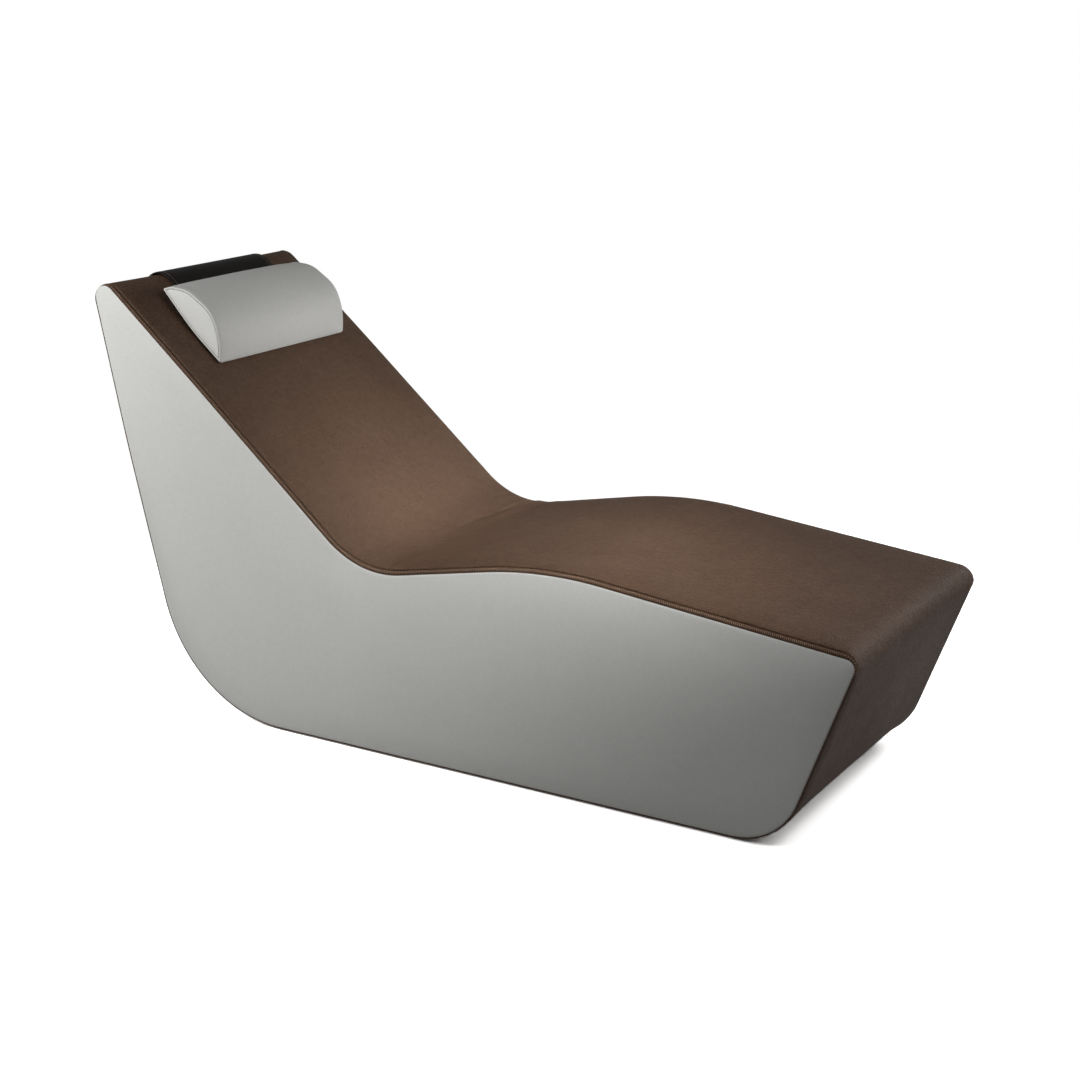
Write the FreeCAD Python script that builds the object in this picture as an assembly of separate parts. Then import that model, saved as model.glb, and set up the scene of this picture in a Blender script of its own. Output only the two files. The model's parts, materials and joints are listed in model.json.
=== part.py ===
"""Spa relaxation lounger: an upholstered chaise on a closed plywood carcass, with a headrest
pillow that hangs on a strap over the head end and is balanced by a weight pocket behind.

Frame: +X towards the foot end, +Y towards the far side, +Z up, millimetres. The origin is the
bottom centre of the whole lounger, on the floor.
"""
import FreeCAD, Part
import math
import os

from FreeCAD import Vector

# Overall sizes
WIDTH = 630.0
HALF = WIDTH / 2
BASE_Z = 4.8

# Well past the lounger's ends, for blocks that cut a shape
FAR = 1500.0

# Side profile: x, height above the underside, corner radius and the kind of edge that follows.
# It is the line of the seam along the top, and the outer line everywhere else.
PROFILE = [
    (-749.3, 0.0, 334.0, "rear"),
    (-885.8, 640.0, 5000.0, "rear"),
    (-962.1, 1053.7, 32.0, "top"),
    (-638.8, 776.1, 9000.0, "top"),
    (-216.1, 406.7, 230.5, "top"),
    (259.9, 492.4, 973.0, "top"),
    (955.0, 413.6, 20.4, "foot"),
    (795.7, 0.0, 152.0, "under"),
]
HEAD, BACK_MID, SEAT, KNEE, TOE, FOOT_LOW, REAR_LOW = 2, 3, 4, 5, 6, 7, 0

# Crown of the upholstery: at each distance from the middle plane, how far the surface stands
# outside the profile on the top, on the rear and foot faces, and underneath. The last value is
# how far the skin's thickness leans sideways there.
CROWN_TOP = 20.0
CROWN_EDGE = 3.0
CROWN_UNDER = 1.5
CROWN = [
    (315.0, -5.0, -8.0, -8.5, 1.0),
    (314.0, -1.5, -3.0, -3.5, 0.9),
    (312.5, 0.0, -1.0, -1.5, 0.8),
    (312.2, 6.0, 0.5, 0.0, 0.95),
    (311.0, 11.0, 2.0, CROWN_UNDER, 0.8),
    (307.0, 14.0, 2.5, CROWN_UNDER, 0.4),
    (299.0, 16.5, CROWN_EDGE, CROWN_UNDER, 0.15),
    (275.0, 18.5, CROWN_EDGE, CROWN_UNDER, 0.0),
    (150.0, 19.6, CROWN_EDGE, CROWN_UNDER, 0.0),
    (0.0, CROWN_TOP, CROWN_EDGE, CROWN_UNDER, 0.0),
]

# The head and toe ridges are rounder where the upholstery stands out more
RIDGE_SOFTENING = 0.25
SEAM_Y = 312.5
STITCH_Y = 311.0

# Thicknesses
SKIN = 2.0
SIDE_FOAM_Y = 305.0
PANEL = 18.0
PANEL_IN_Y = SIDE_FOAM_Y - PANEL
TOP_PADDING = 48.0
EDGE_PADDING = 14.0
DECK = 9.0
BASE_BOARD = 15.0
RIB_HALF = 9.0
BOARD_Z = BASE_Z - CROWN_UNDER + SKIN

# Cross rails: section, then the profile edge each one lies on and how far along it
RAIL_WIDE = 70.0
RAIL_DEEP = 28.0
RAILS = {
    "head_rail": (HEAD, 235.0),
    "back_rail": (BACK_MID, 120.0),
    "seat_rail": (SEAT, 235.0),
    "leg_rail": (KNEE, 330.0),
    "toe_rail": (KNEE, 560.0),
    "foot_rail": (TOE, 200.0),
    "base_rail_front": (FOOT_LOW, 480.0),
    "base_rail_rear": (FOOT_LOW, 1130.0),
    "rear_rail": (REAR_LOW, 420.0),
}

# Screws through the side panels into the rails
SCREW_R = 2.5
SCREW_HEAD_R = 5.0
SCREW_HEAD_DEEP = 3.0
SCREW_LONG = 50.0
SCREW_PITCH = 44.0

# Underside: hem opening, dust cover, glides and staples
HEM_X = (-440.0, 650.0)
HEM_Y = 268.0
DUST_COVER = 1.2
GLIDE_R = 20.0
GLIDE_X = (-400.0, 105.0, 610.0)
GLIDE_Y = 235.0
GLIDE_SCREW_HEAD_R = 5.5
GLIDE_SCREW_LONG = 18.0
GLIDE_WELL = 1.2
GLIDE_CHAMFER = 1.0
STAPLE = (10.0, 1.4, 0.6)
STAPLE_INSET = 8.0
STAPLES_LONG = 14
STAPLES_WIDE = 7

# Glue blocks between the base board and the side panels
BLOCK_SIDE = 40.0
BLOCK_LONG = 90.0
BLOCK_X = (-220.0, -20.0, 160.0, 480.0)

# Headrest: distances run along the backrest from the profile's head corner, heights are taken
# square to it from the seam line
GAP = 0.4
STRAP = 4.0
STRAP_HALF = 176.0
STRAP_Y = 22.0
STRAP_FRONT = 310.0
STRAP_TAIL_Z = 745.0
PILLOW_AT = 266.0
PILLOW_HALF = 225.0
PILLOW_BASE = CROWN_TOP + GAP + STRAP + GAP
PILLOW_SECTION = [
    (-117.5, 17.5, 3.0),
    (-101.9, 40.7, 50.0),
    (-58.5, 71.0, 98.0),
    (27.0, 81.5, 83.0),
    (82.7, 46.2, 140.0),
    (114.5, 0.0, 3.0),
    (8.0, 0.0, 600.0),
]
PILLOW_END = 12.0
PILLOW_SEAM_IN = 5.0
PILLOW_SKIN = 2.0
ZIP_TAPE = (12.0, 360.0, 1.2)
ZIP_AT = -96.0
ZIP_SLIDER = (8.0, 14.0, 3.0)

# Weight pocket: distances run down the rear face from the profile's head corner
POCKET_FROM = 258.0
POCKET_LONG = 240.0
POCKET_DEEP = 13.0
POCKET_GROOVE = 5.0
POCKET_WALL = 2.0
POCKET_CHANNELS = 3
POCKET_EDGE = 6.0
BAR = (60.0, 300.0, 6.0)
BAR_GAP = 0.5


def grown(top, edge, under, soft=0.0):
    """The profile's corners with each kind of edge moved outwards by its own amount."""
    grow = {"top": top, "rear": edge, "foot": edge, "under": under}
    count = len(PROFILE)
    edges = []
    for i in range(count):
        x0, z0, _, kind = PROFILE[i]
        x1, z1 = PROFILE[(i + 1) % count][:2]
        run = math.hypot(x1 - x0, z1 - z0)
        ux, uz = (x1 - x0) / run, (z1 - z0) / run
        out = grow[kind]
        edges.append((x0 - uz * out, z0 + ux * out, ux, uz, out))
    corners = []
    for i in range(count):
        ax, az, aux, auz, a_out = edges[i - 1]
        bx, bz, bux, buz, b_out = edges[i]
        cross = aux * buz - auz * bux
        along = ((bx - ax) * buz - (bz - az) * bux) / cross
        swell = (a_out + b_out) / 2
        radius = PROFILE[i][2] + (swell if cross < 0 else -swell)
        if i in (HEAD, TOE):
            radius += soft
        corners.append((ax + aux * along, az + auz * along + BASE_Z, max(radius, 6.0)))
    return corners


def rounded_wire(corners, place):
    """A closed wire of straight runs and tangent arcs; place turns two coordinates into a point."""
    joints = []
    count = len(corners)
    for i, (x, z, radius) in enumerate(corners):
        here = Vector(x, z, 0)
        before = (Vector(*corners[i - 1][:2], 0) - here).normalize()
        after = (Vector(*corners[(i + 1) % count][:2], 0) - here).normalize()
        half = before.getAngle(after) / 2
        middle = (before + after).normalize()
        reach = radius / math.tan(half)
        joints.append((
            here + before * reach,
            here + middle * (radius / math.sin(half) - radius),
            here + after * reach,
        ))
    edges = []
    for i, (start, bend, end) in enumerate(joints):
        start, bend, end = (place(p.x, p.y) for p in (start, bend, end))
        following = joints[(i + 1) % count][0]
        edges.append(Part.Arc(start, bend, end).toShape())
        edges.append(Part.LineSegment(end, place(following.x, following.y)).toShape())
    return Part.Wire(edges)


def outline(y, *grow):
    """The profile's wire in the plane at y, grown by these amounts."""
    return rounded_wire(grown(*grow), lambda x, z: Vector(x, y, z))


def prism(corners, y0, y1):
    """A rounded outline made solid from y0 to y1."""
    wire = rounded_wire(corners, lambda x, z: Vector(x, y0, z))
    return Part.Face(wire).extrude(Vector(0, y1 - y0, 0))


def crowned(thickness):
    """The whole upholstered body, pared down by a skin thickness."""
    sides = []
    for y, top, edge, under, lean in CROWN:
        square = math.sqrt(1 - lean * lean)
        inward = thickness * square
        soft = RIDGE_SOFTENING * (top + edge)
        place = y - thickness * lean
        sides.append((place, top - inward, edge - inward, under - inward, soft))
    rows = [(-side[0], *side[1:]) for side in sides[:-1]]
    rows += list(reversed(sides))
    return Part.makeLoft([outline(*row) for row in rows], True, True)


def slab(y0, y1):
    """A block over the whole length between two planes."""
    return Part.makeBox(2 * FAR, y1 - y0, 2 * FAR, Vector(-FAR, y0, -FAR))


# Sectors cut the rings of boards and foam into lengths, about one hub inside the carcass
HUB = (-330.0, 224.0)
SECTOR_STEPS = 4
MARKS = {
    "head": (PROFILE[HEAD][0], PROFILE[HEAD][1] + BASE_Z),
    "crease": (-312.0, 496.0),
    "seat_front": (-62.0, 440.0),
    "toe": (PROFILE[TOE][0], PROFILE[TOE][1] + BASE_Z),
    "foot_curve": (843.0, 130.0),
    "base_front": (680.0, 4.8),
    "base_rear": (-475.0, 4.8),
    "rear_curve": (-811.0, 280.0),
}


def sector(start, end):
    """The wedge seen from the hub, clockwise from one mark to the next, as a solid."""
    first, last = (
        math.atan2(MARKS[name][1] - HUB[1], MARKS[name][0] - HUB[0]) for name in (start, end)
    )
    if last > first:
        last -= 2 * math.pi
    points = [Vector(HUB[0], -HALF, HUB[1])]
    for i in range(SECTOR_STEPS + 1):
        angle = first + (last - first) * i / SECTOR_STEPS
        way = Vector(math.cos(angle), 0, math.sin(angle))
        points.append(points[0] + way * (2 * FAR))
    points.append(points[0])
    return Part.Face(Part.makePolygon(points)).extrude(Vector(0, WIDTH, 0))


def save(node, shape):
    """Write one node, and say what it holds."""
    shape = shape.removeSplitter() if node in PLAIN else shape
    solids = shape.Solids
    shape = solids[0] if len(solids) == 1 else Part.makeCompound(solids)
    shape.exportStep(f"parts/{node}.step")
    print(f"{node}: {len(solids)} solid(s), {shape.Volume / 1000:.0f} cm3, valid {shape.isValid()}")


# Nodes whose split faces are merged again before they are written
PLAIN = {"side_panel_left", "side_panel_right", "centre_rib", "base_board"}


def carcass_corners(inset=0.0, floor=0.0):
    """Outer corners of the carcass, or its hollow when inset by the boards."""
    edge = CROWN_EDGE - EDGE_PADDING - inset
    return grown(CROWN_TOP - TOP_PADDING - SKIN - inset, edge, CROWN_UNDER - SKIN - floor)


def rail_frame(corners, edge, along):
    """Centre of a rail's outer face, the direction along the edge and the outward normal."""
    x0, z0, _ = corners[edge]
    x1, z1, _ = corners[(edge + 1) % len(corners)]
    run = math.hypot(x1 - x0, z1 - z0)
    ux, uz = (x1 - x0) / run, (z1 - z0) / run
    return Vector(x0 + ux * along, 0, z0 + uz * along), Vector(ux, 0, uz), Vector(-uz, 0, ux)


def rail(corners, edge, along):
    """A timber rail from panel to panel, flat against the inside of its board."""
    centre, run, out = rail_frame(corners, edge, along)
    side = Vector(0, -PANEL_IN_Y, 0)
    a = centre + run * (RAIL_WIDE / 2) + side
    b = centre - run * (RAIL_WIDE / 2) + side
    c = b - out * RAIL_DEEP
    d = a - out * RAIL_DEEP
    return Part.Face(Part.makePolygon([a, b, c, d, a])).extrude(Vector(0, 2 * PANEL_IN_Y, 0))


def rail_screws(corners, edge, along):
    """Two countersunk screws at each end of a rail, flush with the side panels' outer faces."""
    centre, run, out = rail_frame(corners, edge, along)
    screws = []
    for side in (-1, 1):
        for shift in (-SCREW_PITCH / 2, SCREW_PITCH / 2):
            tip = centre + run * shift - out * (RAIL_DEEP / 2) + Vector(0, side * SIDE_FOAM_Y, 0)
            inward = Vector(0, -side, 0)
            head = Part.makeCone(SCREW_HEAD_R, SCREW_R, SCREW_HEAD_DEEP, tip, inward)
            shank = Part.makeCylinder(SCREW_R, SCREW_LONG, tip, inward)
            screws.append(head.fuse(shank).removeSplitter())
    return screws


def make_carcass():
    """Side panels, centre rib, rails, boards, glue blocks and screws."""
    outer = carcass_corners()
    hollow = carcass_corners(DECK, BASE_BOARD)
    rails = {name: rail(hollow, *place) for name, place in RAILS.items()}
    screws = [screw for place in RAILS.values() for screw in rail_screws(hollow, *place)]
    all_screws = Part.makeCompound(screws)
    save("frame_screws", all_screws)
    for name, shape in rails.items():
        save(name, shape.cut(all_screws))
    for name, low in (("side_panel_left", PANEL_IN_Y), ("side_panel_right", -SIDE_FOAM_Y)):
        save(name, prism(outer, low, low + PANEL).cut(all_screws))
    save("centre_rib", prism(hollow, -RIB_HALF, RIB_HALF).cut(Part.makeCompound(list(rails.values()))))

    ring = prism(outer, -PANEL_IN_Y, PANEL_IN_Y).cut(prism(hollow, -PANEL_IN_Y, PANEL_IN_Y))
    boards = {
        "rear_board": ("rear_curve", "head"),
        "back_deck": ("head", "crease"),
        "seat_deck": ("crease", "seat_front"),
        "leg_deck": ("seat_front", "toe"),
        "foot_board": ("toe", "foot_curve"),
        "foot_curve_board": ("foot_curve", "base_front"),
        "rear_curve_board": ("base_rear", "rear_curve"),
    }
    for name, (start, end) in boards.items():
        save(name, ring.common(sector(start, end)))
    base = ring.common(sector("base_front", "base_rear"))
    save("base_board", base.cut(glide_screw_solids()))

    blocks = []
    floor = BOARD_Z + BASE_BOARD
    for x in BLOCK_X:
        for side in (-1, 1):
            foot = Vector(x - BLOCK_LONG / 2, side * PANEL_IN_Y, floor)
            triangle = Part.makePolygon([
                foot,
                foot + Vector(0, -side * BLOCK_SIDE, 0),
                foot + Vector(0, 0, BLOCK_SIDE),
                foot,
            ])
            blocks.append(Part.Face(triangle).extrude(Vector(BLOCK_LONG, 0, 0)))
    save("corner_blocks", Part.makeCompound(blocks))


def glide_places():
    """Centres of the glides on the floor."""
    return [Vector(x, side * GLIDE_Y, 0) for x in GLIDE_X for side in (-1, 1)]


def glide_screw_solids():
    """One countersunk screw in the middle of each glide."""
    screws = []
    for place in glide_places():
        start = place + Vector(0, 0, GLIDE_WELL)
        head = Part.makeCone(GLIDE_SCREW_HEAD_R, SCREW_R, SCREW_HEAD_DEEP, start)
        shank = Part.makeCylinder(SCREW_R, GLIDE_SCREW_LONG, start)
        screws.append(head.fuse(shank).removeSplitter())
    return Part.makeCompound(screws)


def make_underside():
    """Glides with their screws, dust cover and the staples that hold it."""
    screws = glide_screw_solids()
    save("glide_screws", screws)
    glides = []
    for place in glide_places():
        disc = Part.makeCylinder(GLIDE_R, BOARD_Z - DUST_COVER, place)
        disc = disc.makeChamfer(GLIDE_CHAMFER, [e for e in disc.Edges if e.BoundBox.ZMax < 0.1])
        well = Part.makeCylinder(GLIDE_SCREW_HEAD_R, GLIDE_WELL, place)
        glides.append(disc.cut(well).cut(screws))
    save("glides", Part.makeCompound(glides))

    low = BOARD_Z - DUST_COVER
    long = HEM_X[1] - HEM_X[0]
    cover = Part.makeBox(long, 2 * HEM_Y, DUST_COVER, Vector(HEM_X[0], -HEM_Y, low))
    save("dust_cover", cover.cut(screws))
    wide, thick, deep = STAPLE
    staples = []
    for i in range(STAPLES_LONG):
        x = HEM_X[0] + long * (i + 0.5) / STAPLES_LONG - wide / 2
        for y in (-HEM_Y + STAPLE_INSET, HEM_Y - STAPLE_INSET - thick):
            staples.append(Part.makeBox(wide, thick, deep, Vector(x, y, low - deep)))
    for i in range(STAPLES_WIDE):
        y = -HEM_Y + 2 * HEM_Y * (i + 0.5) / STAPLES_WIDE - wide / 2
        for x in (HEM_X[0] + STAPLE_INSET, HEM_X[1] - STAPLE_INSET - thick):
            staples.append(Part.makeBox(thick, wide, deep, Vector(x, y, low - deep)))
    save("cover_staples", Part.makeCompound(staples))


def make_padding_and_covers():
    """Foam over the carcass, and the sewn covers over the foam."""
    body = crowned(SKIN)
    for name, low in (("side_foam_left", SIDE_FOAM_Y), ("side_foam_right", -HALF)):
        save(name, body.common(slab(low, low + HALF - SIDE_FOAM_Y)))
    core = body.common(slab(-SIDE_FOAM_Y, SIDE_FOAM_Y))
    ring = core.cut(prism(carcass_corners(), -SIDE_FOAM_Y, SIDE_FOAM_Y))
    foams = {
        "rear_foam": ("base_rear", "head"),
        "back_foam": ("head", "crease"),
        "seat_foam": ("crease", "seat_front"),
        "leg_foam": ("seat_front", "toe"),
        "foot_foam": ("toe", "base_front"),
    }
    for name, (start, end) in foams.items():
        save(name, ring.common(sector(start, end)))

    skin = crowned(0.0).cut(body)
    for name, low in (("side_cover_left", SEAM_Y), ("side_cover_right", -HALF)):
        save(name, skin.common(slab(low, low + HALF - SEAM_Y)))
    for name, low in (("border_strip_left", STITCH_Y), ("border_strip_right", -SEAM_Y)):
        save(name, skin.common(slab(low, low + SEAM_Y - STITCH_Y)))
    opening = Part.makeBox(
        HEM_X[1] - HEM_X[0], 2 * HEM_Y, 2 * SKIN, Vector(HEM_X[0], -HEM_Y, BOARD_Z - 1.5 * SKIN)
    )
    save("top_cover", skin.common(slab(-STITCH_Y, STITCH_Y)).cut(opening))


def back_place(along, height):
    """A point on the backrest's middle plane."""
    x0, z0 = PROFILE[HEAD][:2]
    x1, z1 = PROFILE[BACK_MID][:2]
    run = math.hypot(x1 - x0, z1 - z0)
    ux, uz = (x1 - x0) / run, (z1 - z0) / run
    return Vector(x0 + ux * along - uz * height, 0, z0 + uz * along + ux * height + BASE_Z)


def rear_place(down, height):
    """A point behind the rear face's middle plane."""
    x0, z0 = PROFILE[HEAD][:2]
    x1, z1 = PROFILE[HEAD - 1][:2]
    run = math.hypot(x1 - x0, z1 - z0)
    ux, uz = (x1 - x0) / run, (z1 - z0) / run
    return Vector(x0 + ux * down + uz * height, 0, z0 + uz * down - ux * height + BASE_Z)


def make_strap():
    """The strap over the head end: its front lies under the pillow and its tail in the pocket."""
    top, rear = CROWN_TOP + GAP, CROWN_EDGE + GAP
    soft = RIDGE_SOFTENING * (CROWN_TOP + CROWN_EDGE)
    low, high = STRAP_Y - STRAP_HALF, STRAP_Y + STRAP_HALF
    band = prism(grown(top + STRAP, rear + STRAP, 1, soft), low, high)
    band = band.cut(prism(grown(top, rear, 0, soft), -HALF, HALF))
    front, above = back_place(STRAP_FRONT, 0), back_place(STRAP_FRONT, FAR)
    keep = [
        front,
        above,
        Vector(-FAR, 0, above.z),
        Vector(-FAR, 0, STRAP_TAIL_Z),
        Vector(front.x, 0, STRAP_TAIL_Z),
        front,
    ]
    window = Part.Face(Part.makePolygon(keep)).extrude(Vector(0, 2 * HALF, 0))
    save("headrest_strap", band.common(window.translated(Vector(0, -HALF, 0))))


def pillow_wire(y, shrink):
    """The pillow's section at y, drawn in by a margin."""
    corners = []
    count = len(PILLOW_SECTION)
    for i in range(count):
        x, z, radius = PILLOW_SECTION[i]
        here = Vector(x, z, 0)
        before = (here - Vector(*PILLOW_SECTION[i - 1][:2], 0)).normalize()
        after = (Vector(*PILLOW_SECTION[(i + 1) % count][:2], 0) - here).normalize()
        in_before, in_after = Vector(before.y, -before.x, 0), Vector(after.y, -after.x, 0)
        inward = (in_before + in_after) * (shrink / (1 + in_before.dot(in_after)))
        corners.append((x + inward.x, z + inward.y, max(radius - shrink, 2.0)))

    def place(along, height):
        return back_place(PILLOW_AT + along, PILLOW_BASE + height) + Vector(0, y, 0)

    return rounded_wire(corners, place)


def pillow_body(skin, low, high):
    """The pillow between two planes, its ends rounded in towards their seams."""
    ends = [
        (PILLOW_HALF, PILLOW_SEAM_IN),
        (PILLOW_HALF - 4.0, PILLOW_SEAM_IN * 0.4),
        (PILLOW_HALF - PILLOW_END, 0.0),
    ]
    rows = [(y - skin, inset + skin) for y, inset in ends]
    rows = [(-y, inset) for y, inset in rows] + [(y, inset) for y, inset in reversed(rows)]
    body = Part.makeLoft([pillow_wire(y, inset) for y, inset in rows], True, True)
    return body.common(slab(low, high))


def make_pillow():
    """Foam core, barrel cover, two end panels and the zip under the raised edge."""
    half = PILLOW_HALF
    save("pillow_foam", pillow_body(PILLOW_SKIN, -half, half))
    shell = pillow_body(0.0, -half, half).cut(pillow_body(PILLOW_SKIN, -half, half))
    seam = half - PILLOW_SKIN
    save("pillow_cover", shell.common(slab(-seam, seam)))
    save("pillow_end_left", shell.common(slab(seam, half)))
    save("pillow_end_right", shell.common(slab(-half, -seam)))

    # The raised part of the base runs from the flat's end up to the tip
    tip, flat = PILLOW_SECTION[0], PILLOW_SECTION[-1]
    low = back_place(PILLOW_AT + flat[0], PILLOW_BASE + flat[1])
    high = back_place(PILLOW_AT + tip[0], PILLOW_BASE + tip[1])
    run = (high - low).normalize()
    down = Vector(-run.z, 0, run.x)
    start = low + run * (flat[0] - ZIP_AT)

    def plate(centre, size, top):
        wide, long, thick = size
        a = centre - run * (wide / 2) + down * top + Vector(0, -long / 2, 0)
        b, c = a + run * wide, a + run * wide + down * thick
        return Part.Face(Part.makePolygon([a, b, c, a + down * thick, a])).extrude(Vector(0, long, 0))

    save("pillow_zip", plate(start, ZIP_TAPE, 0.0))
    slider_at = start + Vector(0, ZIP_TAPE[1] / 2 - 20.0, 0)
    save("zip_slider", plate(slider_at, ZIP_SLIDER, ZIP_TAPE[2]))


def make_counterweight():
    """The sewn pocket that hangs behind the head end, and the steel bars in its channels."""
    floor = CROWN_EDGE + GAP + STRAP + GAP
    pitch = (POCKET_LONG - 2 * POCKET_EDGE) / POCKET_CHANNELS
    edges = []
    last = rear_place(POCKET_FROM, floor + POCKET_GROOVE)
    first = last
    for i in range(POCKET_CHANNELS):
        start = POCKET_FROM + POCKET_EDGE + i * pitch
        foot = rear_place(start, floor + POCKET_GROOVE)
        crest = rear_place(start + pitch / 2, floor + POCKET_DEEP)
        end = rear_place(start + pitch, floor + POCKET_GROOVE)
        if i == 0:
            edges.append(Part.LineSegment(last, foot).toShape())
        edges.append(Part.Arc(foot, crest, end).toShape())
        last = end
    corners = [
        last,
        rear_place(POCKET_FROM + POCKET_LONG, floor + POCKET_GROOVE),
        rear_place(POCKET_FROM + POCKET_LONG, floor),
        rear_place(POCKET_FROM, floor),
        first,
    ]
    for a, b in zip(corners, corners[1:]):
        edges.append(Part.LineSegment(a, b).toShape())
    wide = 2 * STRAP_HALF
    pocket = Part.Face(Part.Wire(edges)).extrude(Vector(0, wide, 0))
    pocket = pocket.translated(Vector(0, STRAP_Y - STRAP_HALF, 0))
    bar_wide, bar_long, bar_thick = BAR
    bars = []
    for i in range(POCKET_CHANNELS):
        middle = POCKET_FROM + POCKET_EDGE + (i + 0.5) * pitch
        bars.append(rear_block(middle, floor + POCKET_WALL, bar_wide, bar_long, bar_thick))
        room = rear_block(
            middle - BAR_GAP / 2, floor + POCKET_WALL,
            bar_wide + BAR_GAP, bar_long + 2 * BAR_GAP, bar_thick + BAR_GAP,
        )
        pocket = pocket.cut(room)
    save("weight_pocket", pocket)
    save("weight_bars", Part.makeCompound(bars))


def rear_block(middle, low, wide, long, thick):
    """A flat block behind the rear face, across the lounger."""
    a = rear_place(middle - wide / 2, low)
    b = rear_place(middle + wide / 2, low)
    c = rear_place(middle + wide / 2, low + thick)
    d = rear_place(middle - wide / 2, low + thick)
    side = Vector(0, STRAP_Y - long / 2, 0)
    points = [p + side for p in (a, b, c, d, a)]
    return Part.Face(Part.makePolygon(points)).extrude(Vector(0, long, 0))


def main():
    os.makedirs("parts", exist_ok=True)
    make_carcass()
    make_underside()
    make_padding_and_covers()
    make_strap()
    make_pillow()
    make_counterweight()


main()
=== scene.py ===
"""Looks of the spa relaxation lounger: upholstery, headrest, trims, materials and studio.

Frame: +X towards the foot end, +Y towards the far side, +Z up. Lengths in the tables are
millimetres; meshes are metres.
"""

import json
import math

import bpy
from bpy.props import FloatProperty, FloatVectorProperty, IntProperty, PointerProperty
from mathutils import Matrix, Vector, kdtree, noise


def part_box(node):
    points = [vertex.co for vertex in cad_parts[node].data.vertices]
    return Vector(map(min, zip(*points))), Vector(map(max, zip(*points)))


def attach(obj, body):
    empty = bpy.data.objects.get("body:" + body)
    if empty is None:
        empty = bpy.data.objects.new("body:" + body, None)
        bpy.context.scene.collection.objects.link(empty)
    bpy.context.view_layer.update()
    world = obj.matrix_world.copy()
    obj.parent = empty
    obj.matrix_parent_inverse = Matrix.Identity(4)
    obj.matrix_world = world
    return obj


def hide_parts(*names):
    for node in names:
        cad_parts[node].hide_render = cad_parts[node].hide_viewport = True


bl_info = {
    "name": "Spa Relaxation Lounger",
    "version": (1, 0, 0),
    "blender": (4, 5, 0),
    "location": "View3D > Sidebar > Lounger",
    "description": "Upholstery, headrest, trims, materials and studio of the lounger",
    "category": "Object",
}

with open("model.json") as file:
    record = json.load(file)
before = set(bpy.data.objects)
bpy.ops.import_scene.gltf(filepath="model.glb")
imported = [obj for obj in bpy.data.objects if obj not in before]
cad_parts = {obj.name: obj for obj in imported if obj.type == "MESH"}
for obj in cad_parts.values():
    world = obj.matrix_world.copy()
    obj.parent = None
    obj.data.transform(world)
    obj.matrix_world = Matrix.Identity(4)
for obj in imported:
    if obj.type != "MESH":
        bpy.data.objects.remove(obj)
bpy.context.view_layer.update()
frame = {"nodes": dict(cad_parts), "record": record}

MM = 0.001
BASE_Z = 4.8

# Side profile: x, height above the underside, corner radius and the kind of edge that follows
PROFILE = [
    (-749.3, 0.0, 334.0, "rear"),
    (-885.8, 640.0, 5000.0, "rear"),
    (-962.1, 1053.7, 32.0, "top"),
    (-638.8, 776.1, 9000.0, "top"),
    (-216.1, 406.7, 230.5, "top"),
    (259.9, 492.4, 973.0, "top"),
    (955.0, 413.6, 20.4, "foot"),
    (795.7, 0.0, 152.0, "under"),
]
HEAD, BACK_MID, SEAT, TOE, FOOT_LOW = 2, 3, 4, 6, 7
# Share of a cover's height that its arcs at the head and the toe gain in radius
RIDGE_SOFTENING = 0.25
SMALLEST_RADIUS = 6.0
# Arcs of a larger radius are nearly straight and take no finer steps
STRAIGHT_RADIUS = 400.0
# Points lower than this lie on the underside
UNDER_Z = 2 * BASE_Z

# A point well inside the body, which every outside face looks away from
INSIDE = Vector((-0.33, 0.0, 0.22))

# Cross sections near the seams: distance from the middle plane, then how far the surface stands
# outside the profile on the top, on the rear and foot faces, and underneath
CROWN_TOP, CROWN_EDGE, CROWN_UNDER = 20.0, 3.0, 1.5
BAND_EDGE = [
    (307.4, 8.2, -0.4, -1.0),
    (308.6, 9.9, 0.7, 0.1),
    (309.6, 11.0, 1.4, 0.8),
    (309.4, 12.4, 2.0, 1.2),
    (307.8, 13.9, 2.5, 1.5),
    (304.4, 15.3, 2.8, 1.5),
    (299.0, 16.5, 3.0, 1.5),
    (290.0, 17.6, 3.0, 1.5),
]
BAND_FLAT_Y = 278.0
BAND_FALL = 1.5
BAND_FALL_POWER = 2.2
# Spacing of the band's points round sharp corners, and how much coarser it is off the top
BAND_STEP_ROUND = 7.0
BAND_COARSER = 1.5
# How much lower the band's middle starts before its padding swells
BAND_SUNK = 3.5
WELT = [
    (308.6, 0.0, -1.2, -1.6),
    (313.4, -0.8, -1.8, -2.2),
    (314.1, 0.4, -1.2, -1.6),
    (314.3, 2.0, -0.6, -1.0),
    (314.2, 4.2, 0.1, -0.4),
    (313.8, 6.2, 0.8, 0.2),
    (312.9, 8.1, 1.3, 0.7),
    (311.4, 9.2, 1.6, 1.0),
    (309.4, 9.4, 1.2, 0.6),
    (308.2, 5.0, 0.0, -0.4),
]
# Spacing of the strip's points off the top
STRIP_STEP_BELOW = 8.0
# Rows of the strip that are gathered, the height of the gathers sideways, their share outwards,
# and how unevenly they stand
RIB_ROWS = range(2, 8)
RIB_HEIGHT = 0.55
RIB_OUT = 0.6
RIB_DRIFT, RIB_DRIFT_LONG = 0.3, 40.0
# How far the strip's stitches turn from the seam's line, in degrees, and lean outwards
STITCH_SLANT = 80.0
STITCH_LEAN = 0.45
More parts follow.
